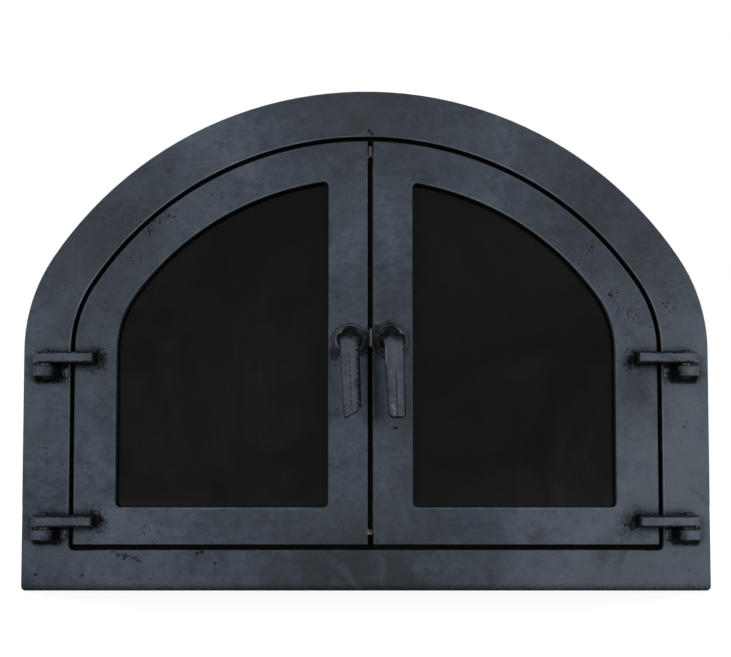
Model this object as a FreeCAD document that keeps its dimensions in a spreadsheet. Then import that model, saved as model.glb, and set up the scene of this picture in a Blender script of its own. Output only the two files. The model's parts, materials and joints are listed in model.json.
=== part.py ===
"""Arched double-leaf stove door: cast frame, two glazed leaves on lift-off hinges, two lever latches.

Millimetres. +X is right and -Y is towards the room, as seen from the front, and +Z is up.
The origin is the middle of the sill on the flange's wall side.
"""
import FreeCAD, Part
import math
import os

import Sketcher
from FreeCAD import Vector

DIMENSIONS = [
    ("frame_width", 600.0, "overall width of the flange"),
    ("frame_height", 440.0, "sill to crown of the flange"),
    ("springing_height", 210.0, "where the jambs turn into the shoulder arcs"),
    ("shoulder_radius", 148.3, "outer radius of the shoulder arcs"),
    ("frame_border", 41.0, "flange width at the jambs and the crown"),
    ("sill_height", 35.5, "flange width at the sill"),
    ("flange_thickness", 10.0, "depth of the flange in front of the wall"),
    ("frame_corner_radius", 4.0, "outer lower corners of the flange"),
    ("opening_corner_radius", 5.0, "lower corners of the opening"),
    ("edge_radius", 1.2, "rounding of the castings' front edges"),
    ("collar_depth", 40.0, "collar behind the wall plane"),
    ("collar_wall", 6.0, "wall of the collar"),
    ("collar_seat", 1.0, "depth of the rebate in the flange that the collar sits in"),
    ("collar_seat_gap", 0.3, "rebate's wall to the collar"),
    ("anchor_bore", 9.0, "anchor holes through the collar's jambs"),
    ("anchor_depth", 26.0, "anchor holes behind the wall plane"),
    ("anchor_low", 80.0, "height of the lower anchor holes"),
    ("anchor_spacing", 100.0, "upper anchor holes above the lower ones"),
    ("stop_width", 13.0, "reach of the stop ring into the opening"),
    ("stop_thickness", 5.0, "thickness of the stop ring"),
    ("stop_setback", 2.0, "front of the stop ring behind the wall plane"),
    ("stop_gap", 0.3, "stop ring inside the collar"),
    ("seal_width", 10.0, "woven tape on the stop ring"),
    ("seal_inset", 1.0, "tape's edge inside the opening's edge"),
    ("seal_clearance", 0.3, "tape to the closed leaves"),
    ("leaf_gap", 3.5, "leaf to frame at the jambs and the crown"),
    ("sill_gap", 4.0, "leaf to frame at the sill"),
    ("leaf_thickness", 8.0, "plate of a leaf"),
    ("leaf_corner_radius", 2.0, "lower outer corners of the leaves"),
    ("meeting_gap", 4.4, "between the two leaves"),
    ("meeting_offset", 4.0, "middle of that gap right of the frame's middle"),
    ("jamb_rim", 37.0, "leaf's edge to the window at the jamb"),
    ("crown_rim", 34.0, "leaf's edge to the window at the crown"),
    ("bottom_rim", 33.0, "leaf's edge to the window at the bottom"),
    ("stile_width", 35.0, "leaf's edge to the window at the meeting gap"),
    ("window_corner_radius", 4.0, "corners of the windows"),
    ("glass_overlap", 8.0, "glass past the window's edge"),
    ("glass_hub_clearance", 1.45, "glass to the hub of the latch tongue"),
    ("glass_thickness", 4.0, "ceramic glass"),
    ("gasket_thickness", 1.5, "tape between leaf and glass"),
    ("gasket_inset", 1.5, "gasket's inner edge behind the window's edge"),
    ("gasket_edge", 1.0, "gasket's outer edge inside the edge of the glass"),
    ("clip_thickness", 1.5, "flat clips that hold the glass"),
    ("clip_width", 12.0, "width of a clip"),
    ("clip_grip", 5.0, "length of clip on the glass"),
    ("clip_tail", 6.0, "length of clip past its screw"),
    ("clip_end_inset", 26.0, "clips from the ends of a window's sides"),
    ("clip_low_share", 0.70, "lower crown clip from the middle, as a share of the leaves' half width"),
    ("clip_high_share", 0.29, "upper crown clip from the middle, as a share of the same"),
    ("clip_boss_radius", 5.0, "cast bosses under the clips"),
    ("clip_boss_clearance", 1.5, "glass edge to a boss"),
    ("clip_screw", 4.0, "clip screw diameter"),
    ("clip_screw_depth", 9.0, "clip screw length in its boss"),
    ("clip_head", 7.5, "clip screw head diameter"),
    ("clip_head_height", 2.6, "clip screw head height"),
    ("screw_fit", 0.02, "radial clearance of a screw in its tapped hole"),
    ("screw_pass", 0.25, "radial clearance of a screw in a clip or strip"),
    ("pin_diameter", 7.0, "hinge pins"),
    ("pin_inset", 22.0, "pin axis from the flange's outer edge"),
    ("pin_fit", 0.02, "radial clearance of a pin in its lug"),
    ("pin_running_fit", 0.06, "radial clearance of a pin in its arm"),
    ("pin_top", 2.5, "pin above the arm"),
    ("pin_foot", 1.0, "pin below the lug"),
    ("pin_end_radius", 1.5, "rounding of the pin's ends"),
    ("knuckle_radius", 10.5, "eyes of the lugs and the arms"),
    ("knuckle_clearance", 1.5, "eyes to the flange"),
    ("lug_flare", 3.0, "lug's widening towards the flange"),
    ("lug_height", 9.0, "height of a lug"),
    ("lug_gusset", 6.0, "drop of the sloping web under a lug"),
    ("lug_edge_radius", 1.0, "rounding of the lug's upper edge"),
    ("lug_foot", 0.6, "thin foot from a lug to its rib"),
    ("lug_rib_start", 14.0, "pin axis to the upright rib beside a lug"),
    ("lug_rib_width", 3.5, "upright rib beside a lug"),
    ("lug_rib_height", 2.0, "that rib above the flange"),
    ("lug_low", 44.8, "underside of the lower lugs above the sill"),
    ("hinge_spacing", 141.0, "upper hinge above the lower one"),
    ("washer_thickness", 1.9, "hinge washers"),
    ("washer_radius", 7.5, "hinge washers"),
    ("washer_pass", 0.3, "radial clearance of a washer on its pin"),
    ("hinge_play", 0.1, "arm above its washer"),
    ("arm_height", 10.0, "height of a hinge arm"),
    ("arm_reach", 42.0, "pin axis to the arm's inner end"),
    ("arm_foot_radius", 4.0, "hollow curve where the arm runs into the leaf"),
    ("arm_edge_inset", 2.0, "arm's root from the leaf's edge"),
    ("arm_edge_radius", 1.2, "rounding of the arm's edges"),
    ("root_depth", 1.0, "depth that cast bosses and arms share with their plate"),
    ("shaft_from_meeting", 18.25, "handle axis from the middle of the meeting gap"),
    ("shaft_height", 217.5, "handle axis above the sill"),
    ("boss_radius", 15.4, "handle boss on the leaf's front"),
    ("boss_height", 3.0, "handle boss on the leaf's front"),
    ("rear_boss_radius", 9.0, "handle boss on the leaf's back"),
    ("spindle_diameter", 10.0, "round part of the handle spindle"),
    ("spindle_fit", 0.06, "radial clearance of the spindle in its bore"),
    ("spindle_play", 0.1, "end play at each face along the spindle"),
    ("spindle_square", 7.0, "square of the spindle that carries the tongue"),
    ("spindle_stud", 6.0, "stud that carries the nut"),
    ("stud_tail", 1.5, "stud past the nut"),
    ("rosette_radius", 13.0, "ring round the handle's neck"),
    ("rosette_height", 4.0, "ring round the handle's neck"),
    ("rosette_lip", 1.2, "thickness of the ring's dished lip"),
    ("collar_radius", 9.0, "round collar at the foot of the neck"),
    ("collar_length", 6.0, "round collar at the foot of the neck"),
    ("rosette_clearance", 0.4, "ring to collar"),
    ("neck_length", 18.0, "boss to the start of the bend"),
    ("bend_radius", 16.0, "middle line of the bend"),
    ("bar_width", 17.0, "lever bar across"),
    ("bar_depth", 14.0, "lever bar front to back"),
    ("bar_ridge", 3.0, "height of the ridge along the bar's front"),
    ("bar_chamfer", 3.0, "chamfers along the bar's back"),
    ("lever_drop", 72.0, "handle axis to the lever's tip"),
    ("tip_width", 15.0, "lever's tip across"),
    ("tip_depth", 11.5, "lever's tip front to back"),
    ("tip_radius", 1.5, "rounding of the lever's tip"),
    ("lever_lean", 2.4, "lever's tip to the right of its axis"),
    ("tongue_thickness", 5.0, "latch tongue"),
    ("tongue_hub_radius", 9.5, "latch tongue's hub"),
    ("tongue_reach", 26.0, "handle axis to the tongue's tip"),
    ("tongue_clearance", 0.4, "tongue to the back of the meeting strip"),
    ("tongue_offset", 1.0, "tongue's near edge beside the handle axis"),
    ("tongue_tip_radius", 2.5, "corners of the tongue's tip"),
    ("tongue_fit", 0.02, "clearance of the tongue on each side of the square"),
    ("spindle_washer_thickness", 1.5, "washer between leaf and tongue"),
    ("spindle_washer_radius", 8.5, "washer between leaf and tongue"),
    ("nut_flats", 10.0, "nut across its flats"),
    ("nut_height", 5.0, "nut"),
    ("keeper_clearance", 0.3, "tongue to the pad that it closes on"),
    ("keeper_inset", 1.0, "pad from the leaf's meeting edge"),
    ("keeper_width", 4.6, "pad under the tongue"),
    ("strip_boss_clearance", 0.75, "meeting strip to the handle boss"),
    ("strip_thickness", 3.0, "meeting strip"),
    ("strip_clearance", 1.1, "meeting strip to the other leaf's edge line"),
    ("strip_end_clearance", 4.0, "meeting strip to the stop ring at its ends"),
    ("strip_screw", 3.0, "meeting strip screw diameter"),
    ("strip_screw_end", 22.0, "first screws from the strip's ends"),
    ("strip_screw_depth", 6.0, "screw length in the leaf"),
    ("strip_head", 5.6, "meeting strip screw head diameter"),
    ("strip_head_height", 1.8, "meeting strip screw head height"),
    ("strip_screw_clear", 45.0, "screws above and below the handle axis"),
    ("cord_depth", 4.0, "meeting cord front to back"),
    ("cord_clearance", 0.8, "meeting cord to the other leaf's edge"),
    ("cord_break_below", 4.0, "break in the cord below the handle axis"),
    ("cord_break_above", 12.0, "break in the cord above the handle axis"),
]

doc = FreeCAD.newDocument("stove_door")
sheet = doc.addObject("Spreadsheet::Sheet", "dims")
for row, (alias, number, note) in enumerate(DIMENSIONS, start=1):
    sheet.set(f"A{row}", alias)
    sheet.set(f"B{row}", str(number))
    sheet.setAlias(f"B{row}", alias)
    sheet.set(f"C{row}", note)
doc.recompute()

TOLERANCE = 1e-4
LEFT, RIGHT = -1, 1
SIDE_NAMES = {LEFT: "left", RIGHT: "right"}

# Places that several pieces share, as expressions of the sheet
CROWN_RISE = "(dims.frame_height - dims.springing_height)"
CROWN_RADIUS = ("((dims.frame_width ^ 2 / 4 - dims.frame_width * dims.shoulder_radius"
                f" + {CROWN_RISE} ^ 2) / (2 * ({CROWN_RISE} - dims.shoulder_radius)))")
CROWN_CENTRE = f"(dims.frame_height - {CROWN_RADIUS})"
OPENING_HALF = "(dims.frame_width / 2 - dims.frame_border)"
OPENING_RADIUS = f"({CROWN_RADIUS} - dims.frame_border)"
LEAF_HALF = f"({OPENING_HALF} - dims.leaf_gap)"
LEAF_RADIUS = f"({OPENING_RADIUS} - dims.leaf_gap)"
LEAF_BOTTOM = "(dims.sill_height + dims.sill_gap)"
LEAF_BACK = "(dims.leaf_thickness - dims.flange_thickness)"
WINDOW_HALF = f"({LEAF_HALF} - dims.jamb_rim)"
WINDOW_RADIUS = f"({LEAF_RADIUS} - dims.crown_rim)"
WINDOW_BOTTOM = f"({LEAF_BOTTOM} + dims.bottom_rim)"
GLASS_FRONT = f"({LEAF_BACK} + dims.gasket_thickness)"
GLASS_BACK = f"({GLASS_FRONT} + dims.glass_thickness)"
CLIP_SCREW_GAP = "(dims.clip_boss_clearance + dims.clip_boss_radius)"
CLIP_SCREW_OUT = f"(dims.glass_overlap + {CLIP_SCREW_GAP})"
PIN_X = "(dims.frame_width / 2 - dims.pin_inset)"
PIN_STANDOFF = "(dims.knuckle_radius + dims.knuckle_clearance)"
PIN_Y = f"(-dims.flange_thickness - {PIN_STANDOFF})"
LUG_TOP = "(dims.lug_low + dims.lug_height)"
ARM_LOW = f"({LUG_TOP} + dims.washer_thickness + dims.hinge_play)"
BOSS_FACE = "(-dims.flange_thickness - dims.boss_height)"
STRIP_BACK = f"({LEAF_BACK} + dims.strip_thickness)"
TONGUE_FRONT = f"({STRIP_BACK} + dims.tongue_clearance)"
WASHER_FRONT = f"({TONGUE_FRONT} - dims.spindle_washer_thickness)"
REAR_BOSS_FACE = f"({WASHER_FRONT} - dims.spindle_play)"
NUT_FRONT = f"({TONGUE_FRONT} + dims.tongue_thickness)"
STRIP_LOW = "(dims.sill_height + dims.stop_width + dims.strip_end_clearance)"
STOP_CROWN = f"({CROWN_CENTRE} + {OPENING_RADIUS} - dims.stop_width)"
STRIP_HIGH = f"({STOP_CROWN} - dims.strip_end_clearance)"


def value(expression):
    """Number that an expression of the sheet gives."""
    return float(sheet.evalExpression(expression))


def meeting_edge(side):
    """Leaf's edge at the meeting gap."""
    return f"(dims.meeting_offset + {side} * dims.meeting_gap / 2)"


def shaft_x(side):
    """Handle axis."""
    return f"(dims.meeting_offset + {side} * dims.shaft_from_meeting)"


def window_inner(side):
    """Window's edge beside the meeting gap."""
    return f"({meeting_edge(side)} + {side} * dims.stile_width)"


def glass_inner(side):
    """Edge of the glass beside the meeting gap."""
    return f"({shaft_x(side)} + {side} * (dims.tongue_hub_radius + dims.glass_hub_clearance))"


def new_body(label):
    """Empty body whose label names the piece."""
    body = doc.addObject("PartDesign::Body", label)
    body.Label = label
    return body


def origin_feature(body, role):
    """Origin plane or axis of a body."""
    return next(item for item in body.Origin.OriginFeatures if item.Role == role)


def sketch_on(body, role, name, lift="0"):
    """Sketch on an origin plane of its body, lifted along the plane's normal."""
    sketch = body.newObject("Sketcher::SketchObject", name)
    sketch.AttachmentSupport = [(origin_feature(body, role), "")]
    sketch.MapMode = "FlatFace"
    sketch.setExpression("AttachmentOffset.Base.z", lift)
    return sketch


def front_sketch(body, name, depth="0"):
    """Sketch across the door, x to the right and y up, at a depth along +Y."""
    return sketch_on(body, "XZ_Plane", name, f"-({depth})")


def plan_sketch(body, name, height="0"):
    """Sketch seen from above, at a height."""
    return sketch_on(body, "XY_Plane", name, height)


def datum(sketch, kind, where, expression):
    """Dimension that follows an expression."""
    index = sketch.addConstraint(Sketcher.Constraint(kind, *where, value(expression)))
    sketch.setExpression(f"Constraints[{index}]", expression)


def place_point(sketch, geometry, end, spot):
    """Fixes a point of the sketch at an (x, y) pair of expressions."""
    datum(sketch, "DistanceX", (-1, 1, geometry, end), spot[0])
    datum(sketch, "DistanceY", (-1, 1, geometry, end), spot[1])


def circle(sketch, spot, radius):
    """Circle at an (x, y) pair of expressions."""
    centre = Vector(value(spot[0]), value(spot[1]), 0)
    index = sketch.addGeometry(Part.Circle(centre, Vector(0, 0, 1), value(radius)))
    place_point(sketch, index, 3, spot)
    datum(sketch, "Radius", (index,), radius)


def arc_between(sketch, start, stop, centre):
    """Shorter arc between two points: its index and which ends are start and stop."""
    first = math.atan2(start.y - centre.y, start.x - centre.x)
    last = math.atan2(stop.y - centre.y, stop.x - centre.x)
    turns_left = math.sin(last - first) > 0
    if not turns_left:
        first, last = last, first
    if last < first:
        last += 2 * math.pi
    round_edge = Part.Circle(centre, Vector(0, 0, 1), (start - centre).Length)
    index = sketch.addGeometry(Part.ArcOfCircle(round_edge, first, last))
    return (index, 1, 2) if turns_left else (index, 2, 1)


def loop(sketch, corners, bends=None):
    """Closed outline through corners; bends turn the run after a corner into an arc (centre, radius)."""
    bends = bends or {}
    spots = [Vector(value(x), value(y), 0) for x, y in corners]
    runs = []
    for number, start in enumerate(spots):
        stop = spots[(number + 1) % len(spots)]
        if number in bends:
            (centre_x, centre_y), _ = bends[number]
            runs.append(arc_between(sketch, start, stop, Vector(value(centre_x), value(centre_y), 0)))
        else:
            runs.append((sketch.addGeometry(Part.LineSegment(start, stop)), 1, 2))
    for number, (index, start_end, stop_end) in enumerate(runs):
        following = runs[(number + 1) % len(runs)]
        sketch.addConstraint(Sketcher.Constraint("Coincident", index, stop_end, following[0], following[1]))
        place_point(sketch, index, start_end, corners[number])
        if number in bends:
            datum(sketch, "Radius", (index,), bends[number][1])


def rectangle(sketch, low, high):
    """Upright rectangle between two corners given as (x, y) expressions."""
    loop(sketch, [low, (high[0], low[1]), high, (low[0], high[1])])


def shoulder(half, radius):
    """Radius of the shoulder arc that joins jamb and crown, and the angle where it meets the crown."""
    rise = value(f"dims.springing_height - {CROWN_CENTRE}")
    shoulder_radius = (radius ** 2 - half ** 2 - rise ** 2) / (2 * (radius - half))
    return shoulder_radius, math.atan2(rise, half - shoulder_radius)


def arch(sketch, half, radius, bottom):
    """Closed three-centred arch about the middle: sill, jambs, shoulder arcs and crown arc."""
    half_width, crown = value(half), value(radius)
    low, spring, centre = value(bottom), value("dims.springing_height"), value(CROWN_CENTRE)
    small, angle = shoulder(half_width, crown)
    normal = Vector(0, 0, 1)
    right_round = Part.Circle(Vector(half_width - small, spring, 0), normal, small)
    left_round = Part.Circle(Vector(small - half_width, spring, 0), normal, small)
    crown_round = Part.Circle(Vector(0, centre, 0), normal, crown)
    sill = sketch.addGeometry(Part.LineSegment(Vector(-half_width, low, 0), Vector(half_width, low, 0)))
    right = sketch.addGeometry(Part.LineSegment(Vector(half_width, low, 0), Vector(half_width, spring, 0)))
    right_arc = sketch.addGeometry(Part.ArcOfCircle(right_round, 0, angle))
    crown_arc = sketch.addGeometry(Part.ArcOfCircle(crown_round, angle, math.pi - angle))
    left_arc = sketch.addGeometry(Part.ArcOfCircle(left_round, math.pi - angle, math.pi))
    left = sketch.addGeometry(Part.LineSegment(Vector(-half_width, spring, 0), Vector(-half_width, low, 0)))
    for kind, where in [
        ("Coincident", (sill, 2, right, 1)),
        ("Tangent", (right, 2, right_arc, 1)),
        ("Tangent", (right_arc, 2, crown_arc, 1)),
        ("Tangent", (crown_arc, 2, left_arc, 1)),
        ("Tangent", (left_arc, 2, left, 1)),
        ("Coincident", (left, 2, sill, 1)),
        ("Horizontal", (sill,)),
        ("Vertical", (right,)),
        ("Vertical", (left,)),
        ("Equal", (right_arc, left_arc)),
        ("PointOnObject", (crown_arc, 3, -2)),
    ]:
        sketch.addConstraint(Sketcher.Constraint(kind, *where))
    datum(sketch, "DistanceY", (-1, 1, crown_arc, 3), CROWN_CENTRE)
    datum(sketch, "Radius", (crown_arc,), radius)
    datum(sketch, "DistanceY", (-1, 1, right_arc, 3), "dims.springing_height")
    datum(sketch, "DistanceX", (-1, 1, sill, 2), half)
    datum(sketch, "DistanceX", (-1, 1, sill, 1), f"-{half}")
    datum(sketch, "DistanceY", (-1, 1, sill, 2), bottom)


def half_arch(sketch, side, inner, half, radius, bottom):
    """One leaf's share of the arch: bottom, jamb, shoulder arc, crown arc and the edge at the meeting gap."""
    inner_x, half_width, crown = value(inner), value(half), value(radius)
    low, spring, centre = value(bottom), value("dims.springing_height"), value(CROWN_CENTRE)
    small, angle = shoulder(half_width, crown)
    edge_angle = math.acos(inner_x / crown)
    normal = Vector(0, 0, 1)
    outer_x = side * half_width
    top = Vector(inner_x, centre + math.sqrt(crown ** 2 - inner_x ** 2), 0)
    small_round = Part.Circle(Vector(side * (half_width - small), spring, 0), normal, small)
    crown_round = Part.Circle(Vector(0, centre, 0), normal, crown)
    foot = sketch.addGeometry(Part.LineSegment(Vector(inner_x, low, 0), Vector(outer_x, low, 0)))
    jamb = sketch.addGeometry(Part.LineSegment(Vector(outer_x, low, 0), Vector(outer_x, spring, 0)))
    if side == RIGHT:
        small_arc = sketch.addGeometry(Part.ArcOfCircle(small_round, 0, angle))
        crown_arc = sketch.addGeometry(Part.ArcOfCircle(crown_round, angle, edge_angle))
        near, far = 1, 2
    else:
        small_arc = sketch.addGeometry(Part.ArcOfCircle(small_round, math.pi - angle, math.pi))
        crown_arc = sketch.addGeometry(Part.ArcOfCircle(crown_round, edge_angle, math.pi - angle))
        near, far = 2, 1
    edge = sketch.addGeometry(Part.LineSegment(top, Vector(inner_x, low, 0)))
    for kind, where in [
        ("Coincident", (foot, 2, jamb, 1)),
        ("Tangent", (jamb, 2, small_arc, near)),
        ("Tangent", (small_arc, far, crown_arc, near)),
        ("Coincident", (crown_arc, far, edge, 1)),
        ("Coincident", (edge, 2, foot, 1)),
        ("Horizontal", (foot,)),
        ("Vertical", (jamb,)),
        ("Vertical", (edge,)),
        ("PointOnObject", (crown_arc, 3, -2)),
    ]:
        sketch.addConstraint(Sketcher.Constraint(kind, *where))
    datum(sketch, "DistanceY", (-1, 1, crown_arc, 3), CROWN_CENTRE)
    datum(sketch, "Radius", (crown_arc,), radius)
    datum(sketch, "DistanceY", (-1, 1, small_arc, 3), "dims.springing_height")
    datum(sketch, "DistanceX", (-1, 1, foot, 2), f"{side} * {half}")
    datum(sketch, "DistanceX", (-1, 1, foot, 1), inner)
    datum(sketch, "DistanceY", (-1, 1, foot, 2), bottom)


def pad(body, name, sketch, length, backwards=False):
    """Adds material along the sketch's normal, or against it."""
    feature = body.newObject("PartDesign::Pad", name)
    feature.Profile = sketch
    feature.setExpression("Length", length)
    feature.Reversed = backwards
    return feature


def pocket(body, name, sketch, length=None, backwards=False):
    """Removes material to a depth, or right through both ways; the volume has to fall."""
    doc.recompute()
    before = body.Shape.Volume
    feature = body.newObject("PartDesign::Pocket", name)
    feature.Profile = sketch
    if length is None:
        feature.SideType = "Symmetric"
        feature.Type = "ThroughAll"
    else:
        feature.setExpression("Length", length)
        feature.Reversed = backwards
    doc.recompute()
    if body.Shape.Volume > before - TOLERANCE:
        raise RuntimeError(f"{body.Label}: {name} cut nothing")
    return feature


def fillet(body, name, radius, wanted):
    """Rounds the edges that a test picks."""
    doc.recompute()
    base = body.Tip
    names = [f"Edge{n}" for n, edge in enumerate(base.Shape.Edges, start=1) if wanted(edge)]
    if not names:
        raise RuntimeError(f"{body.Label}: {name} found no edge")
    feature = body.newObject("PartDesign::Fillet", name)
    feature.Base = (base, names)
    feature.setExpression("Radius", radius)
    return feature


def stack_upwards(body, name, originals, spacing):
    """Repeats features once, higher up."""
    pattern = body.newObject("PartDesign::LinearPattern", name)
    pattern.Originals = originals
    pattern.Direction = (origin_feature(body, "Z_Axis"), [""])
    pattern.Occurrences = 2
    pattern.setExpression("Length", spacing)
    body.Tip = pattern
    return pattern


def flat_at(edge, axis, place):
    """True for an edge that lies in the plane where an axis has one value."""
    low, high = getattr(edge.BoundBox, axis + "Min"), getattr(edge.BoundBox, axis + "Max")
    return abs(low - place) < TOLERANCE and abs(high - place) < TOLERANCE


def through_corner(edge, corners):
    """True for an edge that runs front to back through one of the (x, z) corners."""
    return any(flat_at(edge, "X", x) and flat_at(edge, "Z", z) for x, z in corners)


def within(edge, first_x, second_x, low_z):
    """True for an edge whose ends lie between two x values and above a height."""
    left, right = sorted((first_x, second_x))
    return all(left - TOLERANCE < end.X < right + TOLERANCE and end.Z > low_z - TOLERANCE
               for end in edge.Vertexes)


def put(body, x="0", y="0", z="0"):
    """Places a body by expressions."""
    for axis, expression in zip("xyz", (x, y, z)):
        body.setExpression(f"Placement.Base.{axis}", expression)


def outer_frame():
    """Arched flange that lies on the wall."""
    body = new_body("outer_frame")
    face = front_sketch(body, "flange_outline")
    arch(face, "(dims.frame_width / 2)", CROWN_RADIUS, "0")
    arch(face, OPENING_HALF, OPENING_RADIUS, "dims.sill_height")
    pad(body, "flange", face, "dims.flange_thickness")
    outer, opening = value("dims.frame_width / 2"), value(OPENING_HALF)
    sill = value("dims.sill_height")
    fillet(body, "flange_corners", "dims.frame_corner_radius",
           lambda edge: through_corner(edge, [(-outer, 0), (outer, 0)]))
    fillet(body, "opening_corners", "dims.opening_corner_radius",
           lambda edge: through_corner(edge, [(-opening, sill), (opening, sill)]))
    seat = front_sketch(body, "collar_seat_outline")
    room = "(dims.collar_wall + dims.collar_seat_gap)"
    arch(seat, f"({OPENING_HALF} + {room})", f"({OPENING_RADIUS} + {room})", f"(dims.sill_height - {room})")
    pocket(body, "collar_seat", seat, "dims.collar_seat", backwards=True)
    front = value("-dims.flange_thickness")
    fillet(body, "flange_edges", "dims.edge_radius", lambda edge: flat_at(edge, "Y", front))
    return body


def wall_collar():
    """Collar that reaches into the wall, with anchor holes through its jambs."""
    body = new_body("wall_collar")
    ring = front_sketch(body, "collar_outline", "-dims.collar_seat")
    outer_half, outer_low = f"({OPENING_HALF} + dims.collar_wall)", "(dims.sill_height - dims.collar_wall)"
    arch(ring, outer_half, f"({OPENING_RADIUS} + dims.collar_wall)", outer_low)
    arch(ring, OPENING_HALF, OPENING_RADIUS, "dims.sill_height")
    pad(body, "collar", ring, "dims.collar_seat + dims.collar_depth", backwards=True)
    half, sill = value(OPENING_HALF), value("dims.sill_height")
    fillet(body, "inner_corners", "dims.opening_corner_radius",
           lambda edge: through_corner(edge, [(-half, sill), (half, sill)]))
    outer, low = value(outer_half), value(outer_low)
    fillet(body, "outer_corners", "dims.opening_corner_radius + dims.collar_wall",
           lambda edge: through_corner(edge, [(-outer, low), (outer, low)]))
    anchors = sketch_on(body, "YZ_Plane", "anchor_side")
    for height in ("dims.anchor_low", "dims.anchor_low + dims.anchor_spacing"):
        circle(anchors, ("dims.anchor_depth", height), "dims.anchor_bore / 2")
    pocket(body, "anchor_holes", anchors)
    return body


def opening_ring(label, outer_inset, inner_inset, front, depth, backwards):
    """Flat ring inside the opening between two insets, with the opening's lower corners."""
    body = new_body(label)
    ring = front_sketch(body, "ring_outline", front)
    for inset in (outer_inset, inner_inset):
        arch(ring, f"({OPENING_HALF} - {inset})", f"({OPENING_RADIUS} - {inset})",
             f"(dims.sill_height + {inset})")
    pad(body, "ring", ring, depth, backwards)
    edge, low = value(f"{OPENING_HALF} - {outer_inset}"), value(f"dims.sill_height + {outer_inset}")
    fillet(body, "ring_corners", "dims.opening_corner_radius",
           lambda run: through_corner(run, [(-edge, low), (edge, low)]))
    return body


def stop_ring():
    """Ring inside the collar that the leaves close against."""
    return opening_ring("stop_ring", "dims.stop_gap", "dims.stop_width", "dims.stop_setback",
                        "dims.stop_thickness", backwards=True)


def frame_seal():
    """Woven tape on the front of the stop ring."""
    return opening_ring("frame_seal", "dims.seal_inset", "(dims.seal_inset + dims.seal_width)",
                        "dims.stop_setback", f"dims.stop_setback - {LEAF_BACK} - dims.seal_clearance",
                        backwards=False)


def hinge_lug(label, side, height):
    """Lug on the flange about its pin: a round eye on a flared root, a web under it and a rib beside it."""
    body = new_body(label)
    eye = (("0", "0"), "dims.knuckle_radius")
    flare = "(dims.knuckle_radius + dims.lug_flare)"
    plan = plan_sketch(body, "lug_plan")
    loop(plan, [(f"-{flare}", PIN_STANDOFF), ("-dims.knuckle_radius", "0"), ("0", "-dims.knuckle_radius"),
                ("dims.knuckle_radius", "0"), (flare, PIN_STANDOFF)], {1: eye, 2: eye})
    pad(body, "lug_eye", plan, "dims.lug_height")
    web = sketch_on(body, "YZ_Plane", "web_side")
    loop(web, [(PIN_STANDOFF, "-dims.lug_gusset"), (PIN_STANDOFF, "dims.root_depth"),
               ("0", "dims.root_depth"), ("0", "0")])
    feature = pad(body, "web", web, "2 * dims.knuckle_radius")
    feature.SideType = "Symmetric"
    top, root = value("dims.lug_height"), value(PIN_STANDOFF)
    fillet(body, "lug_edges", "dims.lug_edge_radius",
           lambda edge: flat_at(edge, "Z", top) and not flat_at(edge, "Y", root))
    rib = plan_sketch(body, "rib_plan")
    near, far = f"{-side} * dims.lug_rib_start", f"{-side} * (dims.lug_rib_start + dims.lug_rib_width)"
    foot_face, rib_face = f"{PIN_STANDOFF} - dims.lug_foot", f"{PIN_STANDOFF} - dims.lug_rib_height"
    loop(rib, [(f"{-side} * dims.knuckle_radius", PIN_STANDOFF), (f"{-side} * dims.knuckle_radius", foot_face),
               (near, foot_face), (near, rib_face), (far, rib_face), (far, PIN_STANDOFF)])
    pad(body, "rib", rib, "dims.lug_height - dims.lug_edge_radius")
    hole = plan_sketch(body, "pin_hole_plan", "dims.lug_height")
    circle(hole, ("0", "0"), "dims.pin_diameter / 2 + dims.pin_fit")
    pocket(body, "pin_hole", hole, "dims.lug_height + dims.lug_gusset")
    put(body, f"{side} * {PIN_X}", PIN_Y, height)
    return body


def hinge_pin(label, side, height):
    """Hinge pin through a lug and an arm, with rounded ends."""
    body = new_body(label)
    length = ("dims.pin_foot + dims.lug_height + dims.washer_thickness + dims.hinge_play"
              " + dims.arm_height + dims.pin_top")
    section = plan_sketch(body, "pin_section")
    circle(section, ("0", "0"), "dims.pin_diameter / 2")
    pad(body, "pin_shank", section, length)
    fillet(body, "pin_ends", "dims.pin_end_radius",
           lambda edge: flat_at(edge, "Z", 0) or flat_at(edge, "Z", value(length)))
    put(body, f"{side} * {PIN_X}", PIN_Y, f"{height} - dims.pin_foot")
    return body


def hinge_washer(label, side, height):
    """Washer on a pin between lug and arm."""
    body = new_body(label)
    section = plan_sketch(body, "washer_section")
    circle(section, ("0", "0"), "dims.washer_radius")
    circle(section, ("0", "0"), "dims.pin_diameter / 2 + dims.washer_pass")
    pad(body, "washer", section, "dims.washer_thickness")
    put(body, f"{side} * {PIN_X}", PIN_Y, f"{height} + dims.lug_height")
    return body


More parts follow.
